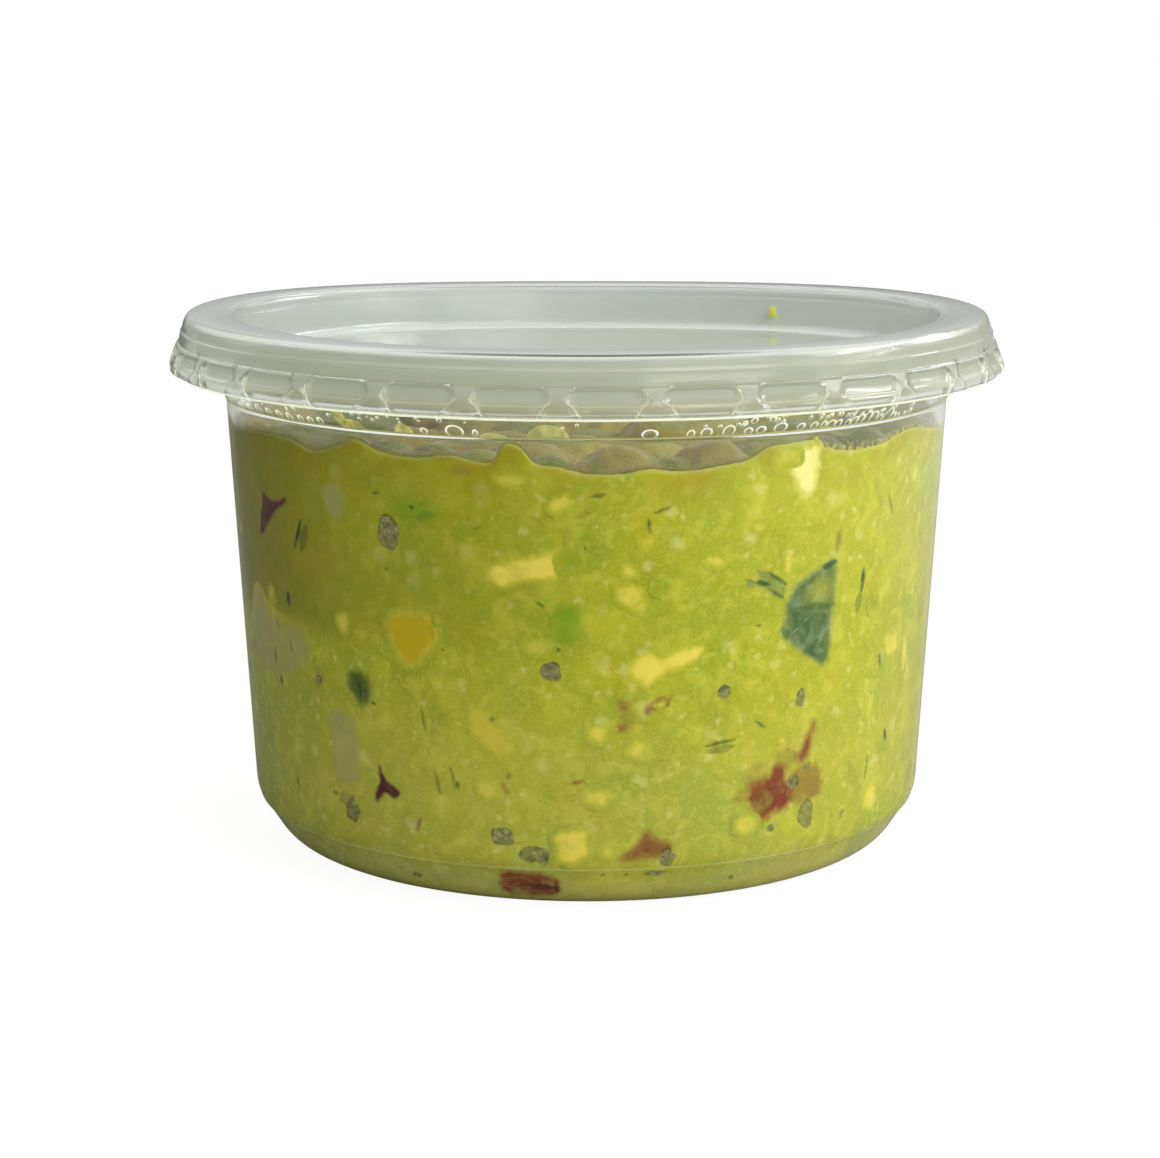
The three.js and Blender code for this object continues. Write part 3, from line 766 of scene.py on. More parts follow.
def smooth_outline(corners, count, rough, seed):
    """A closed curve of evenly spaced points through the corners, a little uneven."""
    corners = np.array(corners, float)
    before, after, later = (np.roll(corners, turn, axis=0) for turn in (1, -1, -2))
    dense = np.stack([
        corners + 0.5 * t * (after - before)
        + 0.5 * t * t * (2 * before - 5 * corners + 4 * after - later)
        + 0.5 * t**3 * (3 * corners - before - 3 * after + later)
        for t in np.linspace(0, 1, 9)[:-1]
    ], axis=1).reshape(-1, 2)
    closed = np.vstack([dense, dense[:1]])
    steps = np.concatenate([[0], np.cumsum(np.linalg.norm(np.diff(closed, axis=0), axis=1))])
    wanted = np.linspace(0, steps[-1], count, endpoint=False)
    even = np.stack([np.interp(wanted, steps, closed[:, axis]) for axis in (0, 1)], axis=-1)
    flat = np.concatenate([even, np.full((count, 1), seed * 3.7)], axis=-1)
    push = rough * (noise_at(flat, 0.9, seed) + 0.5 * noise_at(flat, 0.4, seed + 1))
    middle = even.mean(axis=0)
    away = (even - middle) / np.maximum(np.linalg.norm(even - middle, axis=1, keepdims=True), 1e-6)
    return even + away * push[:, None]


def blob(width, tall, turn=0.0, corner=0.7, seed=1, sides=9):
    """Corners of an uneven rounded outline."""
    draw = random.Random(seed * 97 + 11)
    lean = math.radians(turn)
    corners = []
    for index in range(sides):
        way = 2 * math.pi * (index + 0.5 * draw.random()) / sides
        reach = 0.5 * (0.82 + 0.3 * draw.random())
        across = width * reach * math.copysign(abs(math.cos(way)) ** corner, math.cos(way))
        up = tall * reach * math.copysign(abs(math.sin(way)) ** corner, math.sin(way))
        corners.append((across * math.cos(lean) - up * math.sin(lean),
                        across * math.sin(lean) + up * math.cos(lean)))
    return corners


# How wide each kind's edge melts into the mash.
FADES = {
    "tomato": 1.5, "red_onion": 0.7, "white_onion": 0.9, "avocado": 1.2, "herb": 0.45, "vein": 0.2,
    "chilli": 1.7, "air": 0.4,
}


def outward(outline):
    """Directions that point out of a closed curve."""
    along = np.roll(outline, -1, axis=0) - np.roll(outline, 1, axis=0)
    along = along / np.maximum(np.linalg.norm(along, axis=1, keepdims=True), 1e-6)
    x, y = outline.T
    area = np.sum(x * np.roll(y, -1) - np.roll(x, -1) * y)
    return np.stack([along[:, 1], -along[:, 0]], axis=-1) * math.copysign(1, area)


def wall_patch(outline, azimuth, height, depth, fade, lift=0.012, strength=1.0, rings=8):
    """A closed lump whose front follows the wall and melts into the mash round the outline.

    Gives points, faces and attributes, where "inside" is 0 at the rim and 1 past the fade.
    """
    middle = outline.mean(axis=0)
    grown = outline + outward(outline) * fade / 2
    grid, inside = [], []

    def on_wall(flat, out):
        up = np.clip(height + flat[..., 1], LOWEST_PIECE, LEDGE - 0.3)
        turn = azimuth + np.degrees(flat[..., 0] / wall_radius(up))
        return polar(turn, wall_radius(up) + out, up)

    # Rows of points: their share of the outline and, at the back, of the depth.
    front = [(share, None) for share in np.linspace(0, 1, rings + 1)[1:]]
    back = [(0.97, 0.3), (0.85, 0.65), (0.6, 0.9), (0.3, 1.0)]
    for share, sink in front + back:
        flat = middle + (grown - middle) * share
        away = np.linalg.norm(flat[:, None, :] - grown[None, :, :], axis=-1).min(axis=1)
        inside.append(away * (share != 1))
        out = lift + 0.04 * np.minimum(away, 1) if sink is None else -depth * sink
        grid.append(on_wall(flat, out))
    poles = [on_wall(middle, out) for out in (lift + 0.04, -depth)]
    points, faces = closed_rows(np.array(grid), *poles)
    middle_away = float(np.linalg.norm(grown - middle, axis=1).min())
    inside = np.concatenate([np.array(inside).ravel(), [middle_away, middle_away]])
    rim = np.zeros(len(points))
    rim[(rings - 1) * len(outline):rings * len(outline)] = 1
    below = edge_height(azimuth_of(points)) - points[:, 2]
    attributes = {
        "inside": np.minimum(inside / min(fade, inside.max()), 1.6),
        "below_edge": below,
        "painted_shade": painted_shade_at(azimuth_of(points), below),
        "strength": np.full(len(points), strength),
        "rim": rim,
    }
    return points, [face[::-1] for face in faces], attributes


def bubbles(tree, base):
    """An air pocket: mottled, with painted shade on one side and a few soft round bubbles whose pale rings
    are painted highlights.
    """
    base = tree.over(base, tree.patches(14.0, 0.9, 0.46, 0.66), 0.6, colour(66, 72, 44))
    base = tree.over(base, tree.patches(26.0, 0.7, 0.52, 0.68), 0.5, colour(186, 180, 128))
    rim = tree.span(tree.attribute("inside"), 1.5, 0.8)
    # Painted shade on one side of the pocket, near its rim.
    painted_shade_side = tree.times(tree.span(tree.attribute("painted_shade_side"), 0.0, 0.7), rim)
    base = tree.over(base, painted_shade_side, 0.75, colour(48, 56, 34))
    # Painted highlights: pale rings of soft round bubbles.
    inputs = {"Vector": tree.warped(tree.place(5.0), 0.9, 0.4), "Scale": 1 / 1.1}
    away = tree.math("SUBTRACT", tree.node("TexVoronoi", inputs, "Distance"), 0.3)
    ring = tree.span(tree.math("ABSOLUTE", away), 0.14, 0.03)
    ring = tree.times(ring, tree.patches(8.0, 1.6, 0.42, 0.6, 1.0))
    return tree.over(base, ring, 0.4, colour(210, 204, 164))


def chunk_material(name, core, skin, veil, mottle=None, mash="wall", airy=False, gold=None):
    """A piece under a thin smear: its colours show in the middle and melt into the mash.

    The mash is "wall" or "free", or "clear" for scraps whose edges let what is under them show.
    """
    tree = Tree(name)
    inside = tree.attribute("inside")
    here = tree.place(3.0)
    ragged = tree.times(tree.math("SUBTRACT", tree.noise(here, 0.9, 3.0), 0.5), 0.9)
    ragged = tree.times(ragged, tree.math("MULTIPLY", inside, 3.0, clamp=True))
    smear = tree.times(tree.patches(3.0, 2.4, 0.44, 0.7, 3.0), veil)
    smear = tree.math("MAXIMUM", smear, tree.attribute("smear"))
    cover = tree.span(tree.math("ADD", inside, ragged), 0.08, 0.95)
    cover = tree.times(cover, tree.math("SUBTRACT", 1.0, smear))
    cover = tree.times(cover, tree.attribute("strength"))
    if gold is not None:
        core = tree.blend(tree.attribute("gold"), core, gold)
    depth = tree.math("ADD", inside, tree.noise(here, 1.5, 3.0))
    own = tree.blend(tree.span(depth, 0.95, 1.65), skin, core)
    if mottle is not None:
        own = tree.blend(tree.patches(3.0, 1.7, 0.4, 0.8, 4.0), own, mottle)
    if airy:
        own = bubbles(tree, own)
    look = {**(LOOSE if mash == "free" else PRESSED), "Base Color": own}
    if mash == "clear":
        look["Alpha"] = tree.times(cover, tree.math("SUBTRACT", 1.0, tree.ray(*SOFT_RAYS)))
    else:
        around = free_colour(tree) if mash == "free" else wall_colour(tree)
        look["Base Color"] = tree.blend(cover, around, own)
    return tree.surface(tree.node("BsdfPrincipled", look))


# Each kind's colour inside and at its skin, and how much of it the mash veils.
LOOKS = {
    "tomato": (colour(138, 66, 44), colour(166, 122, 56), 0.4),
    "red_onion": (colour(90, 36, 44), colour(112, 66, 50), 0.12),
    "white_onion": (colour(180, 176, 112), colour(178, 178, 96), 0.35),
    "avocado": (colour(250, 230, 94), colour(220, 208, 60), 0.35),
    "herb": (colour(44, 78, 26), colour(76, 108, 32), 0.3),
    "vein": (colour(150, 176, 116), colour(128, 156, 92), 0.1),
    "chilli": (colour(124, 166, 6), colour(134, 164, 10), 0.25),
    "air": (colour(134, 134, 84), colour(128, 128, 62), 0.1),
}
FREE_LOOKS = {
    "tomato": (colour(168, 132, 84), colour(160, 132, 78), 0.7),
    "white_onion": (colour(176, 172, 116), colour(160, 156, 96), 0.7),
    "avocado": (colour(178, 170, 84), colour(164, 152, 72), 0.7),
}
GOLD = colour(212, 184, 12)
# Kinds whose scraps melt into the mash as the larger pieces do. The other scraps are clear round
# their edges.
SOLID_SCRAPS = ("avocado", "chilli", "white_onion")


def chunk(kind):
    """The material of a piece of food against the wall."""
    return chunk_material(kind, *LOOKS[kind], gold=GOLD if kind == "avocado" else None)


def scrap(kind):
    """The material of the scraps of a kind."""
    return chunk_material(kind + "_scraps", *LOOKS[kind], mash="clear", airy=kind == "air")


CHUNKS = {kind: chunk(kind) for kind in LOOKS if kind not in ("vein", "air")}
SCRAPS = {kind: CHUNKS[kind] if kind in SOLID_SCRAPS else scrap(kind) for kind in LOOKS}
TOP_CHUNKS = {
    kind: chunk_material(kind + "_free", *look, mash="free") for kind, look in FREE_LOOKS.items()
}
LEAF_MATERIAL = chunk_material(
    "cilantro", colour(66, 100, 56), colour(96, 124, 76), 0.2, mottle=colour(128, 150, 110))
GLOW_MATERIAL = chunk_material(
    "avocado_glow", colour(255, 246, 150), colour(244, 232, 112), 0.3)

# Outlines of the pieces at the front: azimuth and height of their corners.
OUTLINES = {
    "cilantro_leaf": [
        (41.6, 46), (41.9, 44.6), (41.6, 42.5), (41.3, 39.5), (41.3, 37), (41.2, 34.5), (40.8, 32.2),
        (39.9, 31.7), (39.2, 31.8), (38.5, 31.9), (36.7, 32.9), (34.2, 34.4), (31.7, 36), (31.2, 37.2),
        (31.6, 39), (31.9, 40.6), (33.2, 42.6), (35, 43.8), (37.6, 44.8), (39.8, 45.7),
    ],
    "cilantro_sprig": [
        (26.4, 45.5), (28, 45.2), (29.8, 44.4), (31.3, 43.3), (31.7, 42.5), (31.1, 41.4), (30.2, 41.4),
        (28.8, 42.3), (27.2, 43.2), (24.7, 43.5), (24.8, 44.1), (26.6, 44.5),
    ],
    "tomato_right": [
        (26.1, 15.2), (26.7, 16.7), (28.2, 17.6), (29.8, 17.6), (30.5, 18.8), (31.6, 19.4), (32.9, 18.8),
        (33.5, 17), (34.7, 15.6), (34.5, 13.4), (33, 12.2), (31.2, 12.5), (29.8, 11.4), (28, 11.6),
        (27.4, 12.8), (26.4, 13.8),
    ],
    "tomato_strip": [
        (38.2, 24.4), (38.9, 23.4), (38.3, 22), (38, 20.2), (37.5, 18.8), (36, 18.6), (35.2, 19.6),
        (35.9, 20.8), (36.8, 22), (37.4, 23.4),
    ],
    "tomato_foot": [
        (-14.7, 5.4), (-12.6, 6.1), (-10, 6), (-7.2, 5.7), (-5, 5), (-4.3, 3.4), (-5, 2), (-8, 1.6),
        (-11, 1.7), (-14, 1.9), (-15, 3.4),
    ],
    "tomato_low": [
        (9.7, 12.1), (10.9, 11.3), (12.2, 10.3), (13.8, 9.6), (13, 8.2), (10.8, 7.6), (8, 7.5), (5.6, 7.5),
        (4.4, 8), (6.2, 9), (7.8, 10.2), (8.8, 11.4),
    ],
    "onion_block": [
        (-45.3, 24.4), (-42.3, 24.9), (-39.2, 24.2), (-38.9, 20), (-39.3, 15.9), (-41.6, 15), (-44.6, 15.4),
        (-45.2, 19.6),
    ],
    "onion_left": [
        (-66, 38.6), (-63.4, 37), (-60.4, 35.9), (-56, 35.2), (-51.6, 34.9), (-49.6, 32.4), (-52.6, 29.6),
        (-57, 27.6), (-63, 27), (-69, 28.2), (-70.6, 32), (-69, 36),
    ],
    "onion_upper": [
        (-43.8, 55.2), (-41.6, 56), (-39.4, 55), (-39, 52.8), (-40.2, 51.2), (-42.4, 51.4), (-43.6, 53.2),
    ],
    "avocado_long": [
        (-14.6, 44.8), (-14.6, 46.6), (-12.6, 47.4), (-9.8, 47.9), (-6.4, 48.6), (-3.8, 49), (-3, 47.4),
        (-3.4, 45.6), (-6.8, 45.2), (-10, 44.7), (-12.4, 44),
    ],
    "avocado_middle": [
        (6, 33.2), (7.2, 34.8), (9.4, 35.6), (11.4, 34.9), (13.2, 35.6), (15.4, 36.2), (17.7, 36.1),
        (17.9, 35.2), (16.2, 34), (14.2, 33.2), (12.4, 32.8), (10.6, 31.8), (9.2, 30.7), (8.2, 31.3),
        (7, 32.1),
    ],
    "avocado_left": [
        (-32.2, 38.8), (-28.8, 40), (-23.2, 39.6), (-23.4, 36.6), (-25.8, 33.6), (-29.2, 32.6),
        (-31.6, 35.8),
    ],
    "avocado_low": [
        (-18.2, 27.4), (-16.6, 27.9), (-15, 26.2), (-13.4, 25), (-11.6, 23.6), (-11.8, 22), (-13, 20.8),
        (-14.8, 22), (-16.6, 23.2), (-18.2, 24.8),
    ],
    "avocado_upper": [
        (30.4, 60.9), (33.6, 61.2), (36.2, 61.1), (36.8, 59.6), (36.5, 57), (35.4, 54.8), (33.8, 54.6),
        (32.2, 57), (30.8, 59.4),
    ],
    "chilli_front": [
        (-4.8, 41.6), (-2.4, 41.9), (-1, 40.6), (-0.9, 38.6), (-1.6, 37.2), (-3.6, 36.8), (-4.9, 37.8),
        (-5.2, 39.8),
    ],
    "red_onion_left": [
        (-60.6, 52.6), (-58.2, 51.9), (-55.6, 52), (-53.2, 52.7), (-53.2, 51.9), (-56, 50.8), (-57.6, 49.8),
        (-59.2, 48.6), (-61.4, 46.9), (-63, 46.7), (-62.3, 48.8), (-61.4, 50.8),
    ],
    "red_onion_low": [
        (-34.9, 18.6), (-34.2, 17.5), (-33.6, 16.6), (-32.4, 16), (-31.2, 15.3), (-31.5, 14.5),
        (-32.6, 14.3), (-33.8, 14.8), (-34.8, 14.1), (-35.6, 13.3), (-36, 14.2), (-35.6, 15.3),
        (-34.9, 16.2), (-35.1, 17.5),
    ],
    "herb_left": [
        (-40.6, 30.2), (-39.2, 31), (-37, 30.8), (-35.8, 29.8), (-35.7, 28.2), (-36.6, 26.6), (-38.2, 26.2),
        (-39, 27.2), (-40.6, 28.6),
    ],
}

# How strongly some pieces show through the mash that smears them.
STRENGTHS = {
    "onion_block": 0.7, "onion_left": 0.8, "onion_upper": 0.6, "herb_left": 0.85,
    "cilantro_sprig": 0.55, "chilli_upper": 0.6, "chilli_front": 0.8, "avocado_low": 0.75,
    "avocado_right": 0.6, "tomato_low": 0.85,
}
GOLDEN = {"avocado_left": 1.0, "avocado_low": 0.5}
# Pieces whose edges melt into the mash over another width than the rest of their kind.
SOFT_PIECES = {
    "avocado_upper": 1.5, "avocado_long": 1.3, "avocado_left": 1.9, "avocado_low": 1.5,
    "onion_left": 2.0, "cilantro_leaf": 1.3, "herb_left": 1.5, "cilantro_sprig": 0.7,
}
OWN_MATERIALS = {
    "cilantro_leaf": LEAF_MATERIAL, "cilantro_sprig": LEAF_MATERIAL, "avocado_upper": GLOW_MATERIAL,
}


def traced(corners):
    """Middle azimuth and height of corners given as azimuth and height, and their offsets."""
    corners = np.array(corners, float)
    azimuth, height = (corners.max(axis=0) + corners.min(axis=0)) / 2
    across = np.radians(corners[:, 0] - azimuth) * wall_radius(height)
    return azimuth, height, np.stack([across, corners[:, 1] - height], axis=-1)


def node_patch(name):
    """Azimuth, height, width and height across of a CAD piece that shows through the wall."""
    points = np.array([vertex.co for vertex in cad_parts[name].data.vertices]) / MM
    azimuth = azimuth_of(points.mean(axis=0, keepdims=True))[0]
    offsets = wrapped(azimuth_of(points) - azimuth)
    centre = azimuth + (offsets.max() + offsets.min()) / 2
    low, high = points[:, 2].min(), points[:, 2].max()
    width = np.radians(offsets.max() - offsets.min()) * wall_radius((low + high) / 2)
    return centre, (low + high) / 2, width, high - low


def kind_of(name):
    """Which food a node is, by its name."""
    named = {"cilantro": "herb", "onion": "white_onion", **{kind: kind for kind in CHUNKS}}
    return next(kind for start, kind in named.items() if name.startswith(start))


def leaf_smear(points):
    """The mash veils the middle of the big leaf, above its dark lower half."""
    azimuths = azimuth_of(points)
    across, up = (azimuths - 38.6) / 3.6, (points[:, 2] - 41.8) / 2.3
    side = 0.45 * smooth_step(azimuths, 39.6, 41.4)
    return np.maximum(0.62 * np.exp(-(across**2) - up**2), side)


def food_piece(name, points, faces, attributes, material):
    """A fine piece of food in the place of a CAD piece."""
    made = add_object(f"{name}_piece", points, faces, material, attributes)
    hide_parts(name)


def wall_chunks():
    """A fine piece for every CAD piece that shows through the wall."""
    food = [n for n in sorted(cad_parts) if n not in ("cup", "lid", "guacamole")]
    for seed, name in enumerate(n for n in food if "_top" not in n):
        azimuth, height, width, tall = node_patch(name)
        corners = blob(width, tall, seed=seed + 3)
        if name in OUTLINES:
            azimuth, height, corners = traced(OUTLINES[name])
        kind = kind_of(name)
        rough, depth = (0.06, 0.7) if kind == "herb" else (0.14, 2.8)
        outline = smooth_outline(corners, 72, rough, seed)
        fade = SOFT_PIECES.get(name, FADES[kind])
        strength = STRENGTHS.get(name, 1.0)
        points, faces, attributes = wall_patch(outline, azimuth, height, depth, fade, strength=strength)
        if name == "cilantro_leaf":
            attributes["smear"] = leaf_smear(points)
        if name in GOLDEN:
            attributes["gold"] = np.full(len(points), GOLDEN[name])
        food_piece(name, points, faces, attributes, OWN_MATERIALS.get(name, CHUNKS[kind]))


def top_chunks():
    """A fine piece for every CAD piece that breaks the free surface."""
    for seed, name in enumerate(n for n in sorted(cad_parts) if "_top" in n):
        low, high = (np.array(corner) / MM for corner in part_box(name))
        middle, half = (low + high) / 2, (high - low) / 2
        points, faces = lump_mesh(middle - (0, 0, 0.35 * half[2]), half, seed)
        under, tone = lumpy_surface(azimuth_of(points), np.hypot(points[:, 0], points[:, 1]))
        attributes = {
            "inside": (points[:, 2] - under) / 1.2, "tone": tone,
            "strength": np.ones(len(points)), "below_edge": np.full(len(points), -20.0),
        }
        food_piece(name, points, faces, attributes, TOP_CHUNKS[kind_of(name)])


def powered(values, power):
    """The values raised to a power, with their signs kept."""
    return np.sign(values) * np.abs(values) ** power


def lump_mesh(middle, half, seed, square=0.6):
    """A rounded block with uneven faces."""
    up, around = np.radians(np.meshgrid(
        np.linspace(-88, 88, 20), np.linspace(0, 360, 36, endpoint=False), indexing="ij"
    ))
    flat = powered(np.cos(up), square)
    shape = np.stack([
        flat * powered(np.sin(around), square), -flat * powered(np.cos(around), square),
        powered(np.sin(up), square),
    ], axis=-1)
    swell = 1 + 0.10 * noise_at(shape, 0.8, seed) + 0.04 * noise_at(shape, 0.3, seed)
    grid = middle + shape * swell[..., None] * half * 0.93
    return closed_rows(grid, grid[0].mean(axis=0), grid[-1].mean(axis=0))


# ---- Small bits against the wall ----

# Listed bits, by kind: azimuth, height, width, tall, turn and strength.
BITS = [
    ("herb", [
        (1.6, 56.2, 2.4, 0.6, 6, 0.8), (10.9, 54.1, 2.8, 0.5, 18, 0.9), (9.1, 52.2, 0.5, 2.4, 8, 0.9),
        (54.1, 51.7, 0.5, 4.6, 24, 0.8), (-50.3, 48.3, 0.8, 6, -24, 1), (-49, 47.6, 2, 4.6, -20, 0.5),
        (-54.4, 38.7, 1.1, 2.4, 0, 1), (-38, 28.5, 0.8, 3, 4, 0.9), (-35.4, 26.9, 0.7, 0.6, 0, 0.8),
        (-33, 55.2, 1.1, 0.6, 20, 0.6), (29.9, 44.2, 4.6, 0.6, -34, 0.95), (27.3, 43.8, 2.6, 0.9, -10, 0.9),
        (29.9, 42.2, 3.2, 0.5, -33, 0.8), (40, 45.1, 3.4, 1.1, 14, 0.8), (47.8, 42.2, 1, 4.4, -6, 0.9),
        # The bit at azimuth 47.1 and height 39.2 is a painted soft shadow under the herb bit above it.
        (47.1, 39.2, 1.4, 3.6, -8, 0.4), (37.2, 39.8, 8.4, 1, -2, 0.5), (36.4, 43.4, 1.8, 1.2, 30, 0.35),
        (34.4, 42.2, 2, 1.6, 30, 0.3), (25.2, 44.2, 3, 0.3, -20, 0.4),
    ]),
    ("vein", [
        (33.7, 36.9, 2.6, 0.22, 31, 0.8), (35.7, 38.2, 2.2, 0.18, 36, 0.55),
        (37.2, 36.6, 1.5, 0.16, 64, 0.6), (38.6, 35, 2, 0.2, 48, 0.7), (39.6, 37.4, 2.4, 0.18, 40, 0.5),
        (36, 35, 1.6, 0.16, 60, 0.5), (38, 38.4, 1.8, 0.16, -30, 0.45), (29.9, 43.3, 2.4, 0.5, -34, 0.5),
    ]),
    ("herb", [
        (28, 24.8, 1.8, 0.6, -35, 0.7), (21.1, 22.9, 5, 0.6, 8, 0.9), (21.1, 22, 4.6, 1.2, 8, 0.5),
        (-7, 42, 1.8, 0.5, -30, 0.8), (-24.1, 17.4, 0.6, 4, 12, 0.5), (-21.4, 18.3, 0.5, 4, 16, 0.55),
        (-20.6, 17.2, 0.6, 1.2, 12, 0.8), (-26.1, 25.6, 0.6, 4, 12, 0.5), (57.8, 19.3, 0.8, 2.2, 20, 0.8),
        (52.3, 15.6, 0.4, 4, -6, 0.6), (54.2, 30.3, 0.8, 2.2, 10, 0.7), (-26.8, 53.8, 0.9, 0.6, 0, 0.9),
        (-58.8, 26.8, 1, 2, 0, 0.8), (-4.3, 36, 0.6, 0.5, 0, 0.8), (-55.5, 13, 0.5, 2.2, 20, 0.6),
        (25.3, 3.6, 1, 0.8, -20, 0.8), (-30.4, 3.4, 2, 0.9, 10, 0.6), (-24.5, 52.8, 3.4, 1.4, 10, 0.3),
        (-31.6, 45.4, 0.6, 0.5, 0, 0.8), (-14.7, 26.5, 0.8, 0.7, 0, 0.5), (-44.9, 13.3, 1.4, 0.9, 0, 0.6),
        (2.6, 5.5, 0.7, 0.5, 0, 0.7), (6.5, 5.5, 0.6, 0.5, 0, 0.7), (26.9, 38.2, 0.9, 0.5, 0, 0.6),
    ]),
    ("tomato", [
        (41.5, 47.8, 1, 4.2, -4, 0.5), (-54.7, 32.3, 1.2, 3, 10, 0.4), (-27.8, 11.1, 0.7, 2.4, -20, 0.7),
        (9.7, 28.1, 1.5, 1.3, 20, 0.85), (11, 29.2, 2.4, 0.7, 25, 0.7), (12.5, 28.9, 0.7, 2, -20, 0.7),
        (5.4, 28.7, 1.5, 1.8, 0, 0.6), (5.3, 25.5, 1.4, 1.3, 0, 0.6), (6.2, 27.2, 2.4, 4.4, 0, 0.3),
        (-1.4, 18.4, 1.9, 0.6, 15, 0.7), (-12.9, 17.3, 1, 1.6, 30, 0.75), (-12.2, 18.9, 0.9, 1.2, -20, 0.6),
        (46.4, 10.3, 0.9, 1, 0, 0.6), (-50.3, 32.6, 0.7, 2.8, 6, 0.4), (-0.6, 53.7, 2.4, 0.8, 20, 0.4),
        (-18.6, 59, 3, 1.4, 0, 0.35), (37, 15.6, 6.4, 6.4, 0, 0.6), (-47.4, 28.6, 1.9, 2.1, 0, 0.55),
        (33.2, 19.6, 3.6, 3.4, 30, 0.4), (27.6, 17.6, 4.6, 3.6, 30, 0.35), (24.7, 15.2, 1.9, 2, 0, 0.45),
        (9, 9, 2.2, 1.6, 10, 0.7), (-11.6, 3.9, 5, 2.6, 0, 0.8), (-24.2, 37.6, 1.2, 3, 20, 0.25),
    ]),
    ("red_onion", [
        (-7.8, 3.4, 4.6, 1.2, 0, 0.8), (29.6, 14.6, 3.4, 3, 20, 0.3), (-5.2, 3.3, 1, 2.6, 0, 0.7),
    ]),
    ("avocado", [
        (-3.8, 55.1, 3.4, 1.8, 30, 0.7), (6.2, 43.2, 3.4, 3.2, 0, 0.8), (8, 41.6, 2, 1.6, 0, 0.7),
        (6.2, 46.3, 2, 1.4, 0, 0.6), (-40.9, 37.3, 2.4, 3, 0, 0.7), (-2.4, 9.7, 4.9, 4.8, 0, 1),
        (3.2, 8.8, 1.6, 1.8, 0, 0.6), (1.5, 16.2, 3.6, 2.4, 0, 0.6), (1.5, 24.9, 2.6, 2.4, 0, 0.75),
        (7.7, 22.7, 2.2, 2.6, 0, 0.65), (-7.5, 36.3, 3.6, 2, -15, 0.45), (19.3, 47.2, 3, 1.6, -10, 0.6),
        (26.2, 11.4, 3.4, 2.8, 0, 0.6), (54, 11.1, 3, 4, -20, 0.7), (63, 29.8, 1.8, 5.4, 0, 0.7),
        (-60, 38.8, 1.8, 2.4, 0, 0.5), (-15.9, 16.8, 2.4, 2.6, 40, 0.5), (31.7, 46.4, 1.4, 4, 4, 0.6),
        (-23, 39.2, 1.2, 1.2, 0, 0.4), (52, 24, 2, 3.6, 0, 0.5), (9, 50, 2.4, 1.2, 40, 0.4),
        (-11, 58, 4.6, 1.6, 0, 0.4), (26, 30.6, 2, 1.4, 0, 0.5), (-28, 30.4, 2.6, 2, 0, 0.3),
        (30.6, 59.9, 5, 2, 8, 0.28), (32.1, 22.2, 1.2, 0.9, 0, 0.7), (26.4, 51, 1.6, 0.8, 20, 0.5),
        (42, 54, 2, 2.4, 0, 0.35),
    ]),
    ("chilli", [
        (-17.6, 51.4, 3, 1.6, 0, 0.6), (-2.6, 47.4, 2.6, 3, 0, 0.45), (11.1, 44.3, 2.4, 1.8, 0, 0.5),
        (-0.6, 50.4, 3, 2, 20, 0.35), (51.2, 38.5, 2, 2, 0, 0.6), (-6, 16.6, 1.6, 1.2, 0, 0.4),
    ]),
    ("tomato", [(-58.6, 34.6, 1.2, 2.4, 10, 0.5)]),
    ("herb", [(-60.4, 29.8, 0.9, 2.6, 0, 0.6)]),
    ("air", [
        (-30.9, 50.1, 3.4, 4.8, 100, 0.9), (-5.4, 33.1, 2.8, 2.7, 70, 1), (21.3, 29.7, 1.8, 1.8, 100, 0.9),
        (35.4, 27.6, 1.4, 2.6, 100, 0.9), (-42.2, 12.8, 3, 1.8, 0, 0.5), (-41, 11.4, 2.6, 3.4, 255, 0.85),
        (-13.4, 10.7, 3.3, 2.5, 200, 0.9), (-8.5, 8.4, 4, 2.4, 20, 0.8), (12.9, 7.9, 2, 2.5, 90, 0.9),
        (11.3, 5.5, 3.2, 0.9, 90, 0.8), (34.7, 16.3, 2, 2, 0, 0.9), (37.8, 11.4, 2.8, 4, 100, 0.75),
        (30.7, 10.4, 1.2, 1.2, 0, 0.9), (-7, 7.8, 1.6, 1.6, 0, 0.8), (-47.4, 28.6, 1, 1.1, 0, 0.8),
        (37.4, 18, 1.4, 1.2, 0, 0.5),
    ]),
]

# Azimuths that the photo doesn't show, and the heights of the seeded bits there.
UNSEEN_FROM, UNSEEN_TO = 74, 286
BITS_FROM, BITS_TO = 3, 57
# The seeded bits: kind, how many, smallest and largest size, longest shape.
SCATTER = [
    ("herb", 60, 0.5, 2.0, 4.0), ("tomato", 24, 0.8, 2.4, 2.5), ("avocado", 60, 0.8, 3.0, 1.8),
    ("chilli", 16, 1.2, 3.0, 1.6), ("white_onion", 16, 1.2, 3.0, 2.0), ("air", 14, 1.4, 3.4, 1.6),
]


def scattered_bits(draw):
    """Bits away from the front, where the photo shows nothing."""
    placed = []
    for kind, count, small, large, longest in SCATTER:
        for _ in range(count):
            size = small + (large - small) * draw.random() ** 2
            long = size * (1 + (longest - 1) * draw.random())
            azimuth = UNSEEN_FROM + (UNSEEN_TO - UNSEEN_FROM) * draw.random()
            strength = 0.5 + 0.5 * draw.random()
            height = BITS_FROM + (BITS_TO - BITS_FROM) * draw.random()
            placed.append((kind, azimuth, height, size, long, 180 * draw.random(), strength))
    return placed


def painted_shade_side_share(points, azimuth, height, width, tall, turn):
    """How far each point lies toward the painted shade on one side of an air pocket, from -1 to 1."""
    turns = wrapped(azimuth_of(points) - azimuth)
    across = np.radians(turns) * wall_radius(height) / (width / 2)
    up = (points[:, 2] - height) / (tall / 2)
    return across * math.cos(math.radians(turn)) + up * math.sin(math.radians(turn))


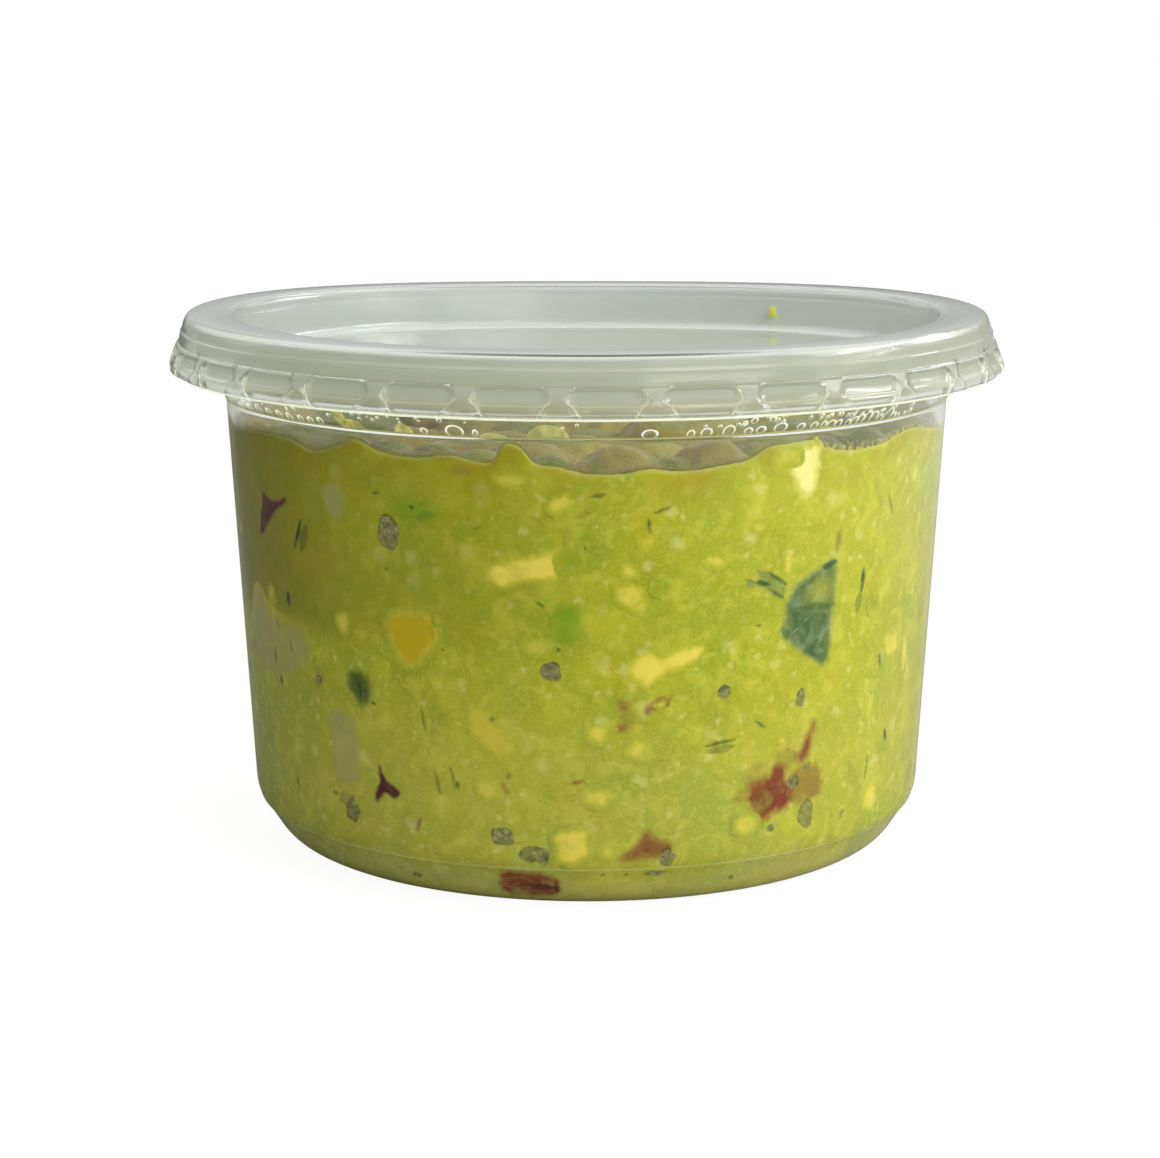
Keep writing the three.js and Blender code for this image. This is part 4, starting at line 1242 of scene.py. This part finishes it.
def small_bits():
    """Scraps of every kind pressed against the wall, each kind joined into one mesh."""
    heaps = {kind: Heap() for kind in LOOKS}
    lifts = {kind: 0.02 + 0.012 * index for index, kind in enumerate(LOOKS)}
    front = [(kind, *bit) for kind, bits in BITS for bit in bits]
    for seed, bit in enumerate(front + scattered_bits(random.Random(23))):
        kind, azimuth, height, width, tall, turn, strength = bit
        columns, sides = (24, 8) if max(width, tall) < 2.5 else (36, 10)
        lean = 0 if kind == "air" else turn
        pointed = 1.5 if kind in ("herb", "vein") else 0.9
        corners = blob(width, tall, lean, pointed, seed, sides)
        outline = smooth_outline(corners, columns, min(0.12, 0.07 * min(width, tall)), seed)
        fade = min(FADES[kind], 0.9 * min(width, tall))
        points, faces, attributes = wall_patch(
            outline, azimuth, height, 0.5, fade, lifts[kind], strength, rings=5
        )
        if kind == "air":
            attributes["painted_shade_side"] = painted_shade_side_share(points, azimuth, height, width, tall, turn)
        heaps[kind].add(points, faces, attributes)
    slots = {"air": "guacamole", "vein": "herb"}
    for kind, heap in heaps.items():
        heap.build(f"{kind}_bits", SCRAPS[kind], slots.get(kind, kind))


# ---- Drops, the smear above the mash and the ledge ----

# Drops that stand on the ledge inside the cup: azimuth, height, width and how tall.
DROPS = [
    (-61.6, 64.1, 1.3, 1.3), (-58.6, 64.2, 1.5, 1.6), (-55.4, 64.1, 1.4, 1.4), (-52.5, 64.1, 1.3, 1.3),
    (-49.9, 64, 1.2, 1.3), (-47.2, 64, 1.1, 1.1), (-44.9, 64, 1.1, 1.1), (-42.7, 64.1, 1, 1.2),
    (-24, 64, 1.1, 1), (-19.2, 64.2, 2.5, 1.8), (-16.1, 64.1, 0.8, 1), (8.9, 64.1, 2.2, 1.4),
    (14.9, 64, 1.1, 1.2), (17.2, 64.1, 1.6, 1.4), (20.6, 64.2, 1.7, 1.7), (23.7, 64, 1.3, 1.1),
    (24.1, 65.5, 1, 0.9), (25.7, 64.1, 1.5, 1.1), (27, 65.6, 1, 0.7), (28.9, 64.2, 2, 1.5),
    (32.5, 64.1, 1.3, 1.1), (34.9, 64.1, 1.2, 1.1), (36.7, 64.1, 1, 1.1), (19, 64.9, 0.6, 0.5),
    (22.5, 64.9, 0.6, 0.6),
]


def drop_material():
    """Water that shows by its bright rim, a painted highlight."""
    tree = Tree("water_drops")
    gloss = tree.node("BsdfGlossy", {"Color": WHITE, "Roughness": 0.06})
    clear = tree.mix_shader(tree.node("Fresnel", {"IOR": WATER_IOR}), tree.straight(), gloss)
    return tree.surface(tree.glow(colour(250, 251, 238), tree.attribute("bright"), clear))


def drop_mesh(azimuth, height, width, tall):
    """A flat drop with a rounded rim on the inner face of the flared collar."""
    around = np.radians(np.linspace(0, 360, 28, endpoint=False))
    line = min(0.5, 0.4 / min(width, tall))
    rows = [(0, 0.9, 0), (0, 1, 0.5), (0.1, 1.03, 1), (0.18, 1 - line / 2, 1), (0.18, 1 - line, 0.35),
            (0.12, 0.95 - line, 0), (0.1, 0.35, 0)]
    grid, bright = [], []
    # The bright rim is a painted highlight, stronger on the drop's upper side.
    upper = 0.35 + 0.65 * smooth_step(np.sin(around), -0.6, 0.1)
    for lift, share, shine in rows:
        across = width / 2 * share * np.cos(around)
        up = np.maximum(height + tall / 2 * share * np.sin(around), LEDGE + 0.25)
        radius = np.interp(up, COLLAR_HEIGHTS, COLLAR_RADII) + 0.05 - lift
        grid.append(polar(azimuth + np.degrees(across / COLLAR_RADIUS), radius, up))
        bright.append(0.66 * shine * upper)
    poles = grid[0].mean(axis=0), grid[-1].mean(axis=0)
    bright = np.concatenate([np.array(bright).ravel(), [0, 0]])
    return *closed_rows(np.array(grid), *poles), {"bright": bright}


def drops():
    """Condensation along the ledge: the photo's own drops, and seeded ones all round."""
    draw = random.Random(5)
    placed = list(DROPS)
    for start, end, step in ((-72, -62, 2.2), (38.2, 58, 1.7), (80, 285, 2.8)):
        azimuth = start
        while azimuth < end:
            width = 0.9 + 0.9 * draw.random()
            placed.append((azimuth, 63.4 + 0.5 * width, width, width * (0.8 + 0.4 * draw.random())))
            azimuth += step * (0.7 + 0.6 * draw.random())
    for start, end, count in ((20, 60, 50), (-66, -30, 26), (-30, 20, 14), (90, 270, 60)):
        for _ in range(count):
            size = 0.3 + 0.45 * draw.random()
            azimuth = start + (end - start) * draw.random()
            placed.append((azimuth, 64.9 + 1.5 * draw.random(), size, size))
    heap = Heap()
    for drop in placed:
        heap.add(*drop_mesh(*drop))
    heap.build("water_drops", drop_material(), "cup_plastic")


# Pale scraps of mash that stick to the collar: azimuth, height, width, how tall and how thick.
COLLAR_SCRAPS = [
    (-36.4, 63.5, 3.8, 2.8, 0.95), (-38.2, 65.2, 2, 3, 0.9), (-27.4, 63.6, 2.6, 2.6, 0.6),
    (-5.6, 63.4, 5.4, 4.2, 0.5), (-13.6, 63.5, 3.4, 1.4, 0.5), (140, 63.6, 3.4, 2.8, 0.8),
    (205, 63.5, 4.6, 3.6, 0.5),
]


def collar_scraps():
    """Pale wet scraps against the collar, just above the ledge."""
    tree = Tree("collar_scraps")
    cloudy = tree.patches(6.0, 1.3, 0.3, 0.7, 3.0)
    tint = tree.blend(cloudy, colour(148, 150, 100), colour(190, 184, 128))
    cover = tree.math("MAXIMUM", tree.attribute("thick"), tree.attribute("bright"), clamp=True)
    heap = Heap()
    for azimuth, height, width, tall, thick in COLLAR_SCRAPS:
        points, faces, attributes = drop_mesh(azimuth, height, width, tall)
        # The scraps keep a dimmer painted highlight round their rim.
        attributes["bright"] = 0.8 * attributes["bright"]
        attributes["thick"] = np.full(len(points), thick)
        heap.add(points, faces, attributes)
    material = tree.surface(tree.glow(tint, cover, tree.straight()))
    heap.build("collar_scraps", material, "guacamole")


def lid_fleck(middle=(28.6, 39.0, 70.2), half=(0.55, 0.6, 0.95)):
    """A fleck of mash on the lid's sunk wall."""
    tree = Tree("lid_flecks")
    cover = tree.math("MAXIMUM", tree.patches(9.0, 2.2, 0.3, 0.6), 0.7)
    material = tree.surface(tree.glow(colour(176, 178, 74), cover, tree.straight()))
    heap = Heap()
    heap.add(*lump_mesh(np.array(middle), np.array(half), 0), {})
    heap.build("lid_flecks", material, "guacamole")


# How high the thin smear reaches above the mash: azimuth and height in mm.
SMEAR = [
    (-180, 1.2), (-90, 1.8), (-66, 2.6), (-50, 2.4), (-42, 2), (-33, 1.2), (-22, 0.9), (-12, 0.7), (0, 0.8),
    (12, 1), (22, 0.7), (30, 0.5), (36, 0.6), (40, 1.9), (50, 1.7), (58, 1), (90, 1.5), (180, 1.2),
]


def smear_material():
    """A patchy film of mash that the light shines through."""
    tree = Tree("guacamole_smear")
    grainy = tree.noise(tree.place(2.0), 0.55, 3.0)
    grain = tree.attribute("grain")
    grains = tree.times(tree.times(grain, tree.math("SUBTRACT", grainy, 0.5)), 1.8)
    pattern = tree.math("ADD", grains, tree.times(tree.noise(tree.place(21.0), 2.6), 0.7))
    film = tree.math("ADD", pattern, tree.attribute("film"))
    cover = tree.times(tree.span(film, 0.6, 1.6), 0.7)
    pale = tree.times(tree.span(grainy, 0.4, 0.6), grain)
    near, through = tree.both_sides(tree.blend(pale, colour(148, 146, 60), colour(226, 220, 142)))
    milky = tree.mix_shader(0.4, near, through)
    return tree.surface(tree.mix_shader(cover, tree.straight(), milky))


def smear():
    """A thin film on the wall from the mash's edge upward."""
    azimuth = np.linspace(0, 360, 480, endpoint=False)
    turns = wrapped(azimuth)
    reach = np.interp(turns, *np.array(SMEAR).T)
    edge = edge_height(azimuth) - 0.25
    top = np.minimum(edge + 0.25 + reach, LEDGE + 0.1)
    grain = 0.15 + 0.85 * smooth_step(np.abs(turns + 8), 30.0, 48.0) * (turns > 0)
    shares = (0, 0.2, 0.4, 0.6, 0.8, 1.0)
    grid, film = [], []
    for depth, share in [(0.30, share) for share in shares] + [(0.40, share) for share in shares[::-1]]:
        height = edge + share * (top - edge)
        grid.append(polar(azimuth, wall_radius(height) - depth, height))
        film.append(np.full(len(azimuth), 1.15 * (1 - share) ** 1.2))
    made = add_object(
        "guacamole_smear", np.array(grid).reshape(-1, 3), tube_faces(len(grid), len(azimuth)),
        smear_material(), {"film": np.array(film).ravel(), "grain": np.tile(grain, len(grid))},
    )


def bead(name, radius, height, wide, tall, material, sagging):
    """A thin rounded ring round the tub."""
    azimuth = np.arange(0, 360, 0.75)
    around = np.linspace(0, 2 * np.pi, 10, endpoint=False)
    lowered = sag_at(azimuth) * sagging
    grid = np.array([
        polar(azimuth, radius + wide * math.cos(t), height + tall * math.sin(t) - lowered)
        for t in around
    ])
    made = add_object(name, grid.reshape(-1, 3), tube_faces(len(around), len(azimuth)), material)


# ---- Floor, light and camera ----

def floor_object():
    """A plain pale floor that looks white, throws little light back, and mirrors dim at the left."""
    size = 3000
    mesh = bpy.data.meshes.new("floor")
    corners = [(-size, -size, 0), (size, -size, 0), (size, size, 0), (-size, size, 0)]
    mesh.from_pydata([Vector(corner) * MM for corner in corners], [], [(0, 1, 2, 3)])
    floor = bpy.data.objects.new("floor", mesh)
    bpy.context.scene.collection.objects.link(floor)
    tree = Tree("floor")
    side = tree.span(tree.node("SeparateXYZ", {0: tree.place()}, "X"), 0.0, 300.0)
    mirrored = tree.blend(side, (0.22, 0.22, 0.22, 1), (0.8, 0.8, 0.8, 1))
    mirrored, plain, lit = (tree.node("BsdfDiffuse", {"Color": shade}) for shade in (
        mirrored, (0.66, 0.66, 0.64, 1), (0.8, 0.8, 0.8, 1)
    ))
    plain = tree.mix_shader(tree.ray("Glossy"), plain, mirrored)
    bright = tree.mix_shader(0.14, tree.node("Emission", {"Color": WHITE, "Strength": 1.1}), lit)
    mesh.materials.append(tree.surface(tree.mix_shader(tree.ray(*EYE_RAYS), plain, bright)))


# Soft light from around: its direction, the cosine where it begins, and its linear colour.
LOBES = [
    ((0.70, -0.63, 0.45), -0.2, (0.64, 0.64, 0.64, 1)), ((0.0, 0.25, 1.0), 0.6, (0.58, 0.61, 0.62, 1)),
    ((-0.2, 1.0, 1.0), 0.5, (0.82, 0.84, 0.85, 1)), ((-1.0, 0.8, 0.4), 0.72, (0.62, 0.64, 0.64, 1)),
    ((0.8, 0.8, 0.3), 0.8, (0.55, 0.55, 0.54, 1)),
]


def world_light():
    """Soft surroundings: white to the eye; as light, brighter from the right and at the back."""
    world = bpy.data.worlds.new("world")
    bpy.context.scene.world = world
    tree = Tree("world", world)
    way = tree.node("TexCoord", output="Generated")
    soft = (0.03, 0.03, 0.03, 1)
    for aim, low, light in LOBES:
        side = tree.vector("DOT_PRODUCT", way, Vector(aim).normalized(), "Value")
        soft = tree.blend(tree.span(side, low, 1.0), soft, light)
    light = tree.node("Background", {"Color": soft, "Strength": 1.0})
    white = tree.node("Background", {"Color": WHITE, "Strength": 1.0})
    tree.surface(tree.mix_shader(tree.ray(*EYE_RAYS), light, white))


def area_light(name, azimuth, elevation, distance, size, power, mirrored=True):
    """A soft lamp that looks at the middle of the tub and isn't seen itself."""
    data = bpy.data.lights.new(name, "AREA")
    data.shape = "RECTANGLE"
    data.size, data.size_y = size
    data.energy = power
    lamp = bpy.data.objects.new(name, data)
    rise = math.radians(elevation)
    lamp.location = polar(azimuth, distance * math.cos(rise), distance * math.sin(rise))
    aim = Vector((0, 0, 0.04)) - lamp.location
    lamp.rotation_euler = aim.to_track_quat("-Z", "Y").to_euler()
    lamp.visible_camera = False
    lamp.visible_glossy = mirrored
    bpy.context.scene.collection.objects.link(lamp)


def camera():
    """The camera stands in front, a little above the tub, with a long lens."""
    image_width = 1160
    focal_pixels = 3091
    data = bpy.data.cameras.new("camera")
    data.sensor_width = 36
    data.lens = focal_pixels / image_width * data.sensor_width
    made = bpy.data.objects.new("camera", data)
    made.location = (-0.0009, -0.4341, 0.1187)
    made.rotation_euler = (math.radians(90 - 10.79), 0, 0)
    bpy.context.scene.collection.objects.link(made)
    bpy.context.scene.camera = made


def look_settings():
    """View transform and light-path limits for clear plastic."""
    scene = bpy.context.scene
    scene.view_settings.view_transform = "Standard"
    scene.cycles.use_denoising = True
    scene.cycles.caustics_reflective = False
    scene.cycles.caustics_refractive = False
    scene.cycles.max_bounces = 14
    scene.cycles.transmission_bounces = 12
    scene.cycles.transparent_max_bounces = 24
    scene.cycles.diffuse_bounces = 3
    scene.cycles.glossy_bounces = 6


cup_object()
lid_object()
bead("lid_lip_bead", 56.72, 66.6, 0.24, 0.15, LIP_PLASTIC, sagging=1)
bead("cup_ledge_bead", 50.72, 63.42, 0.12, 0.12, LEDGE_PLASTIC, sagging=0)
guacamole_object()
wall_chunks()
top_chunks()
small_bits()
smear()
drops()
collar_scraps()
lid_fleck()
floor_object()
world_light()
area_light("key", 36, 36, 0.9, (0.5, 0.2), 2.6, mirrored=False)
area_light("sparkle", 84, 36, 0.9, (0.42, 0.26), 1.6)
area_light("side", 112, 36, 0.9, (1.0, 0.05), 2.0)
camera()
look_settings()
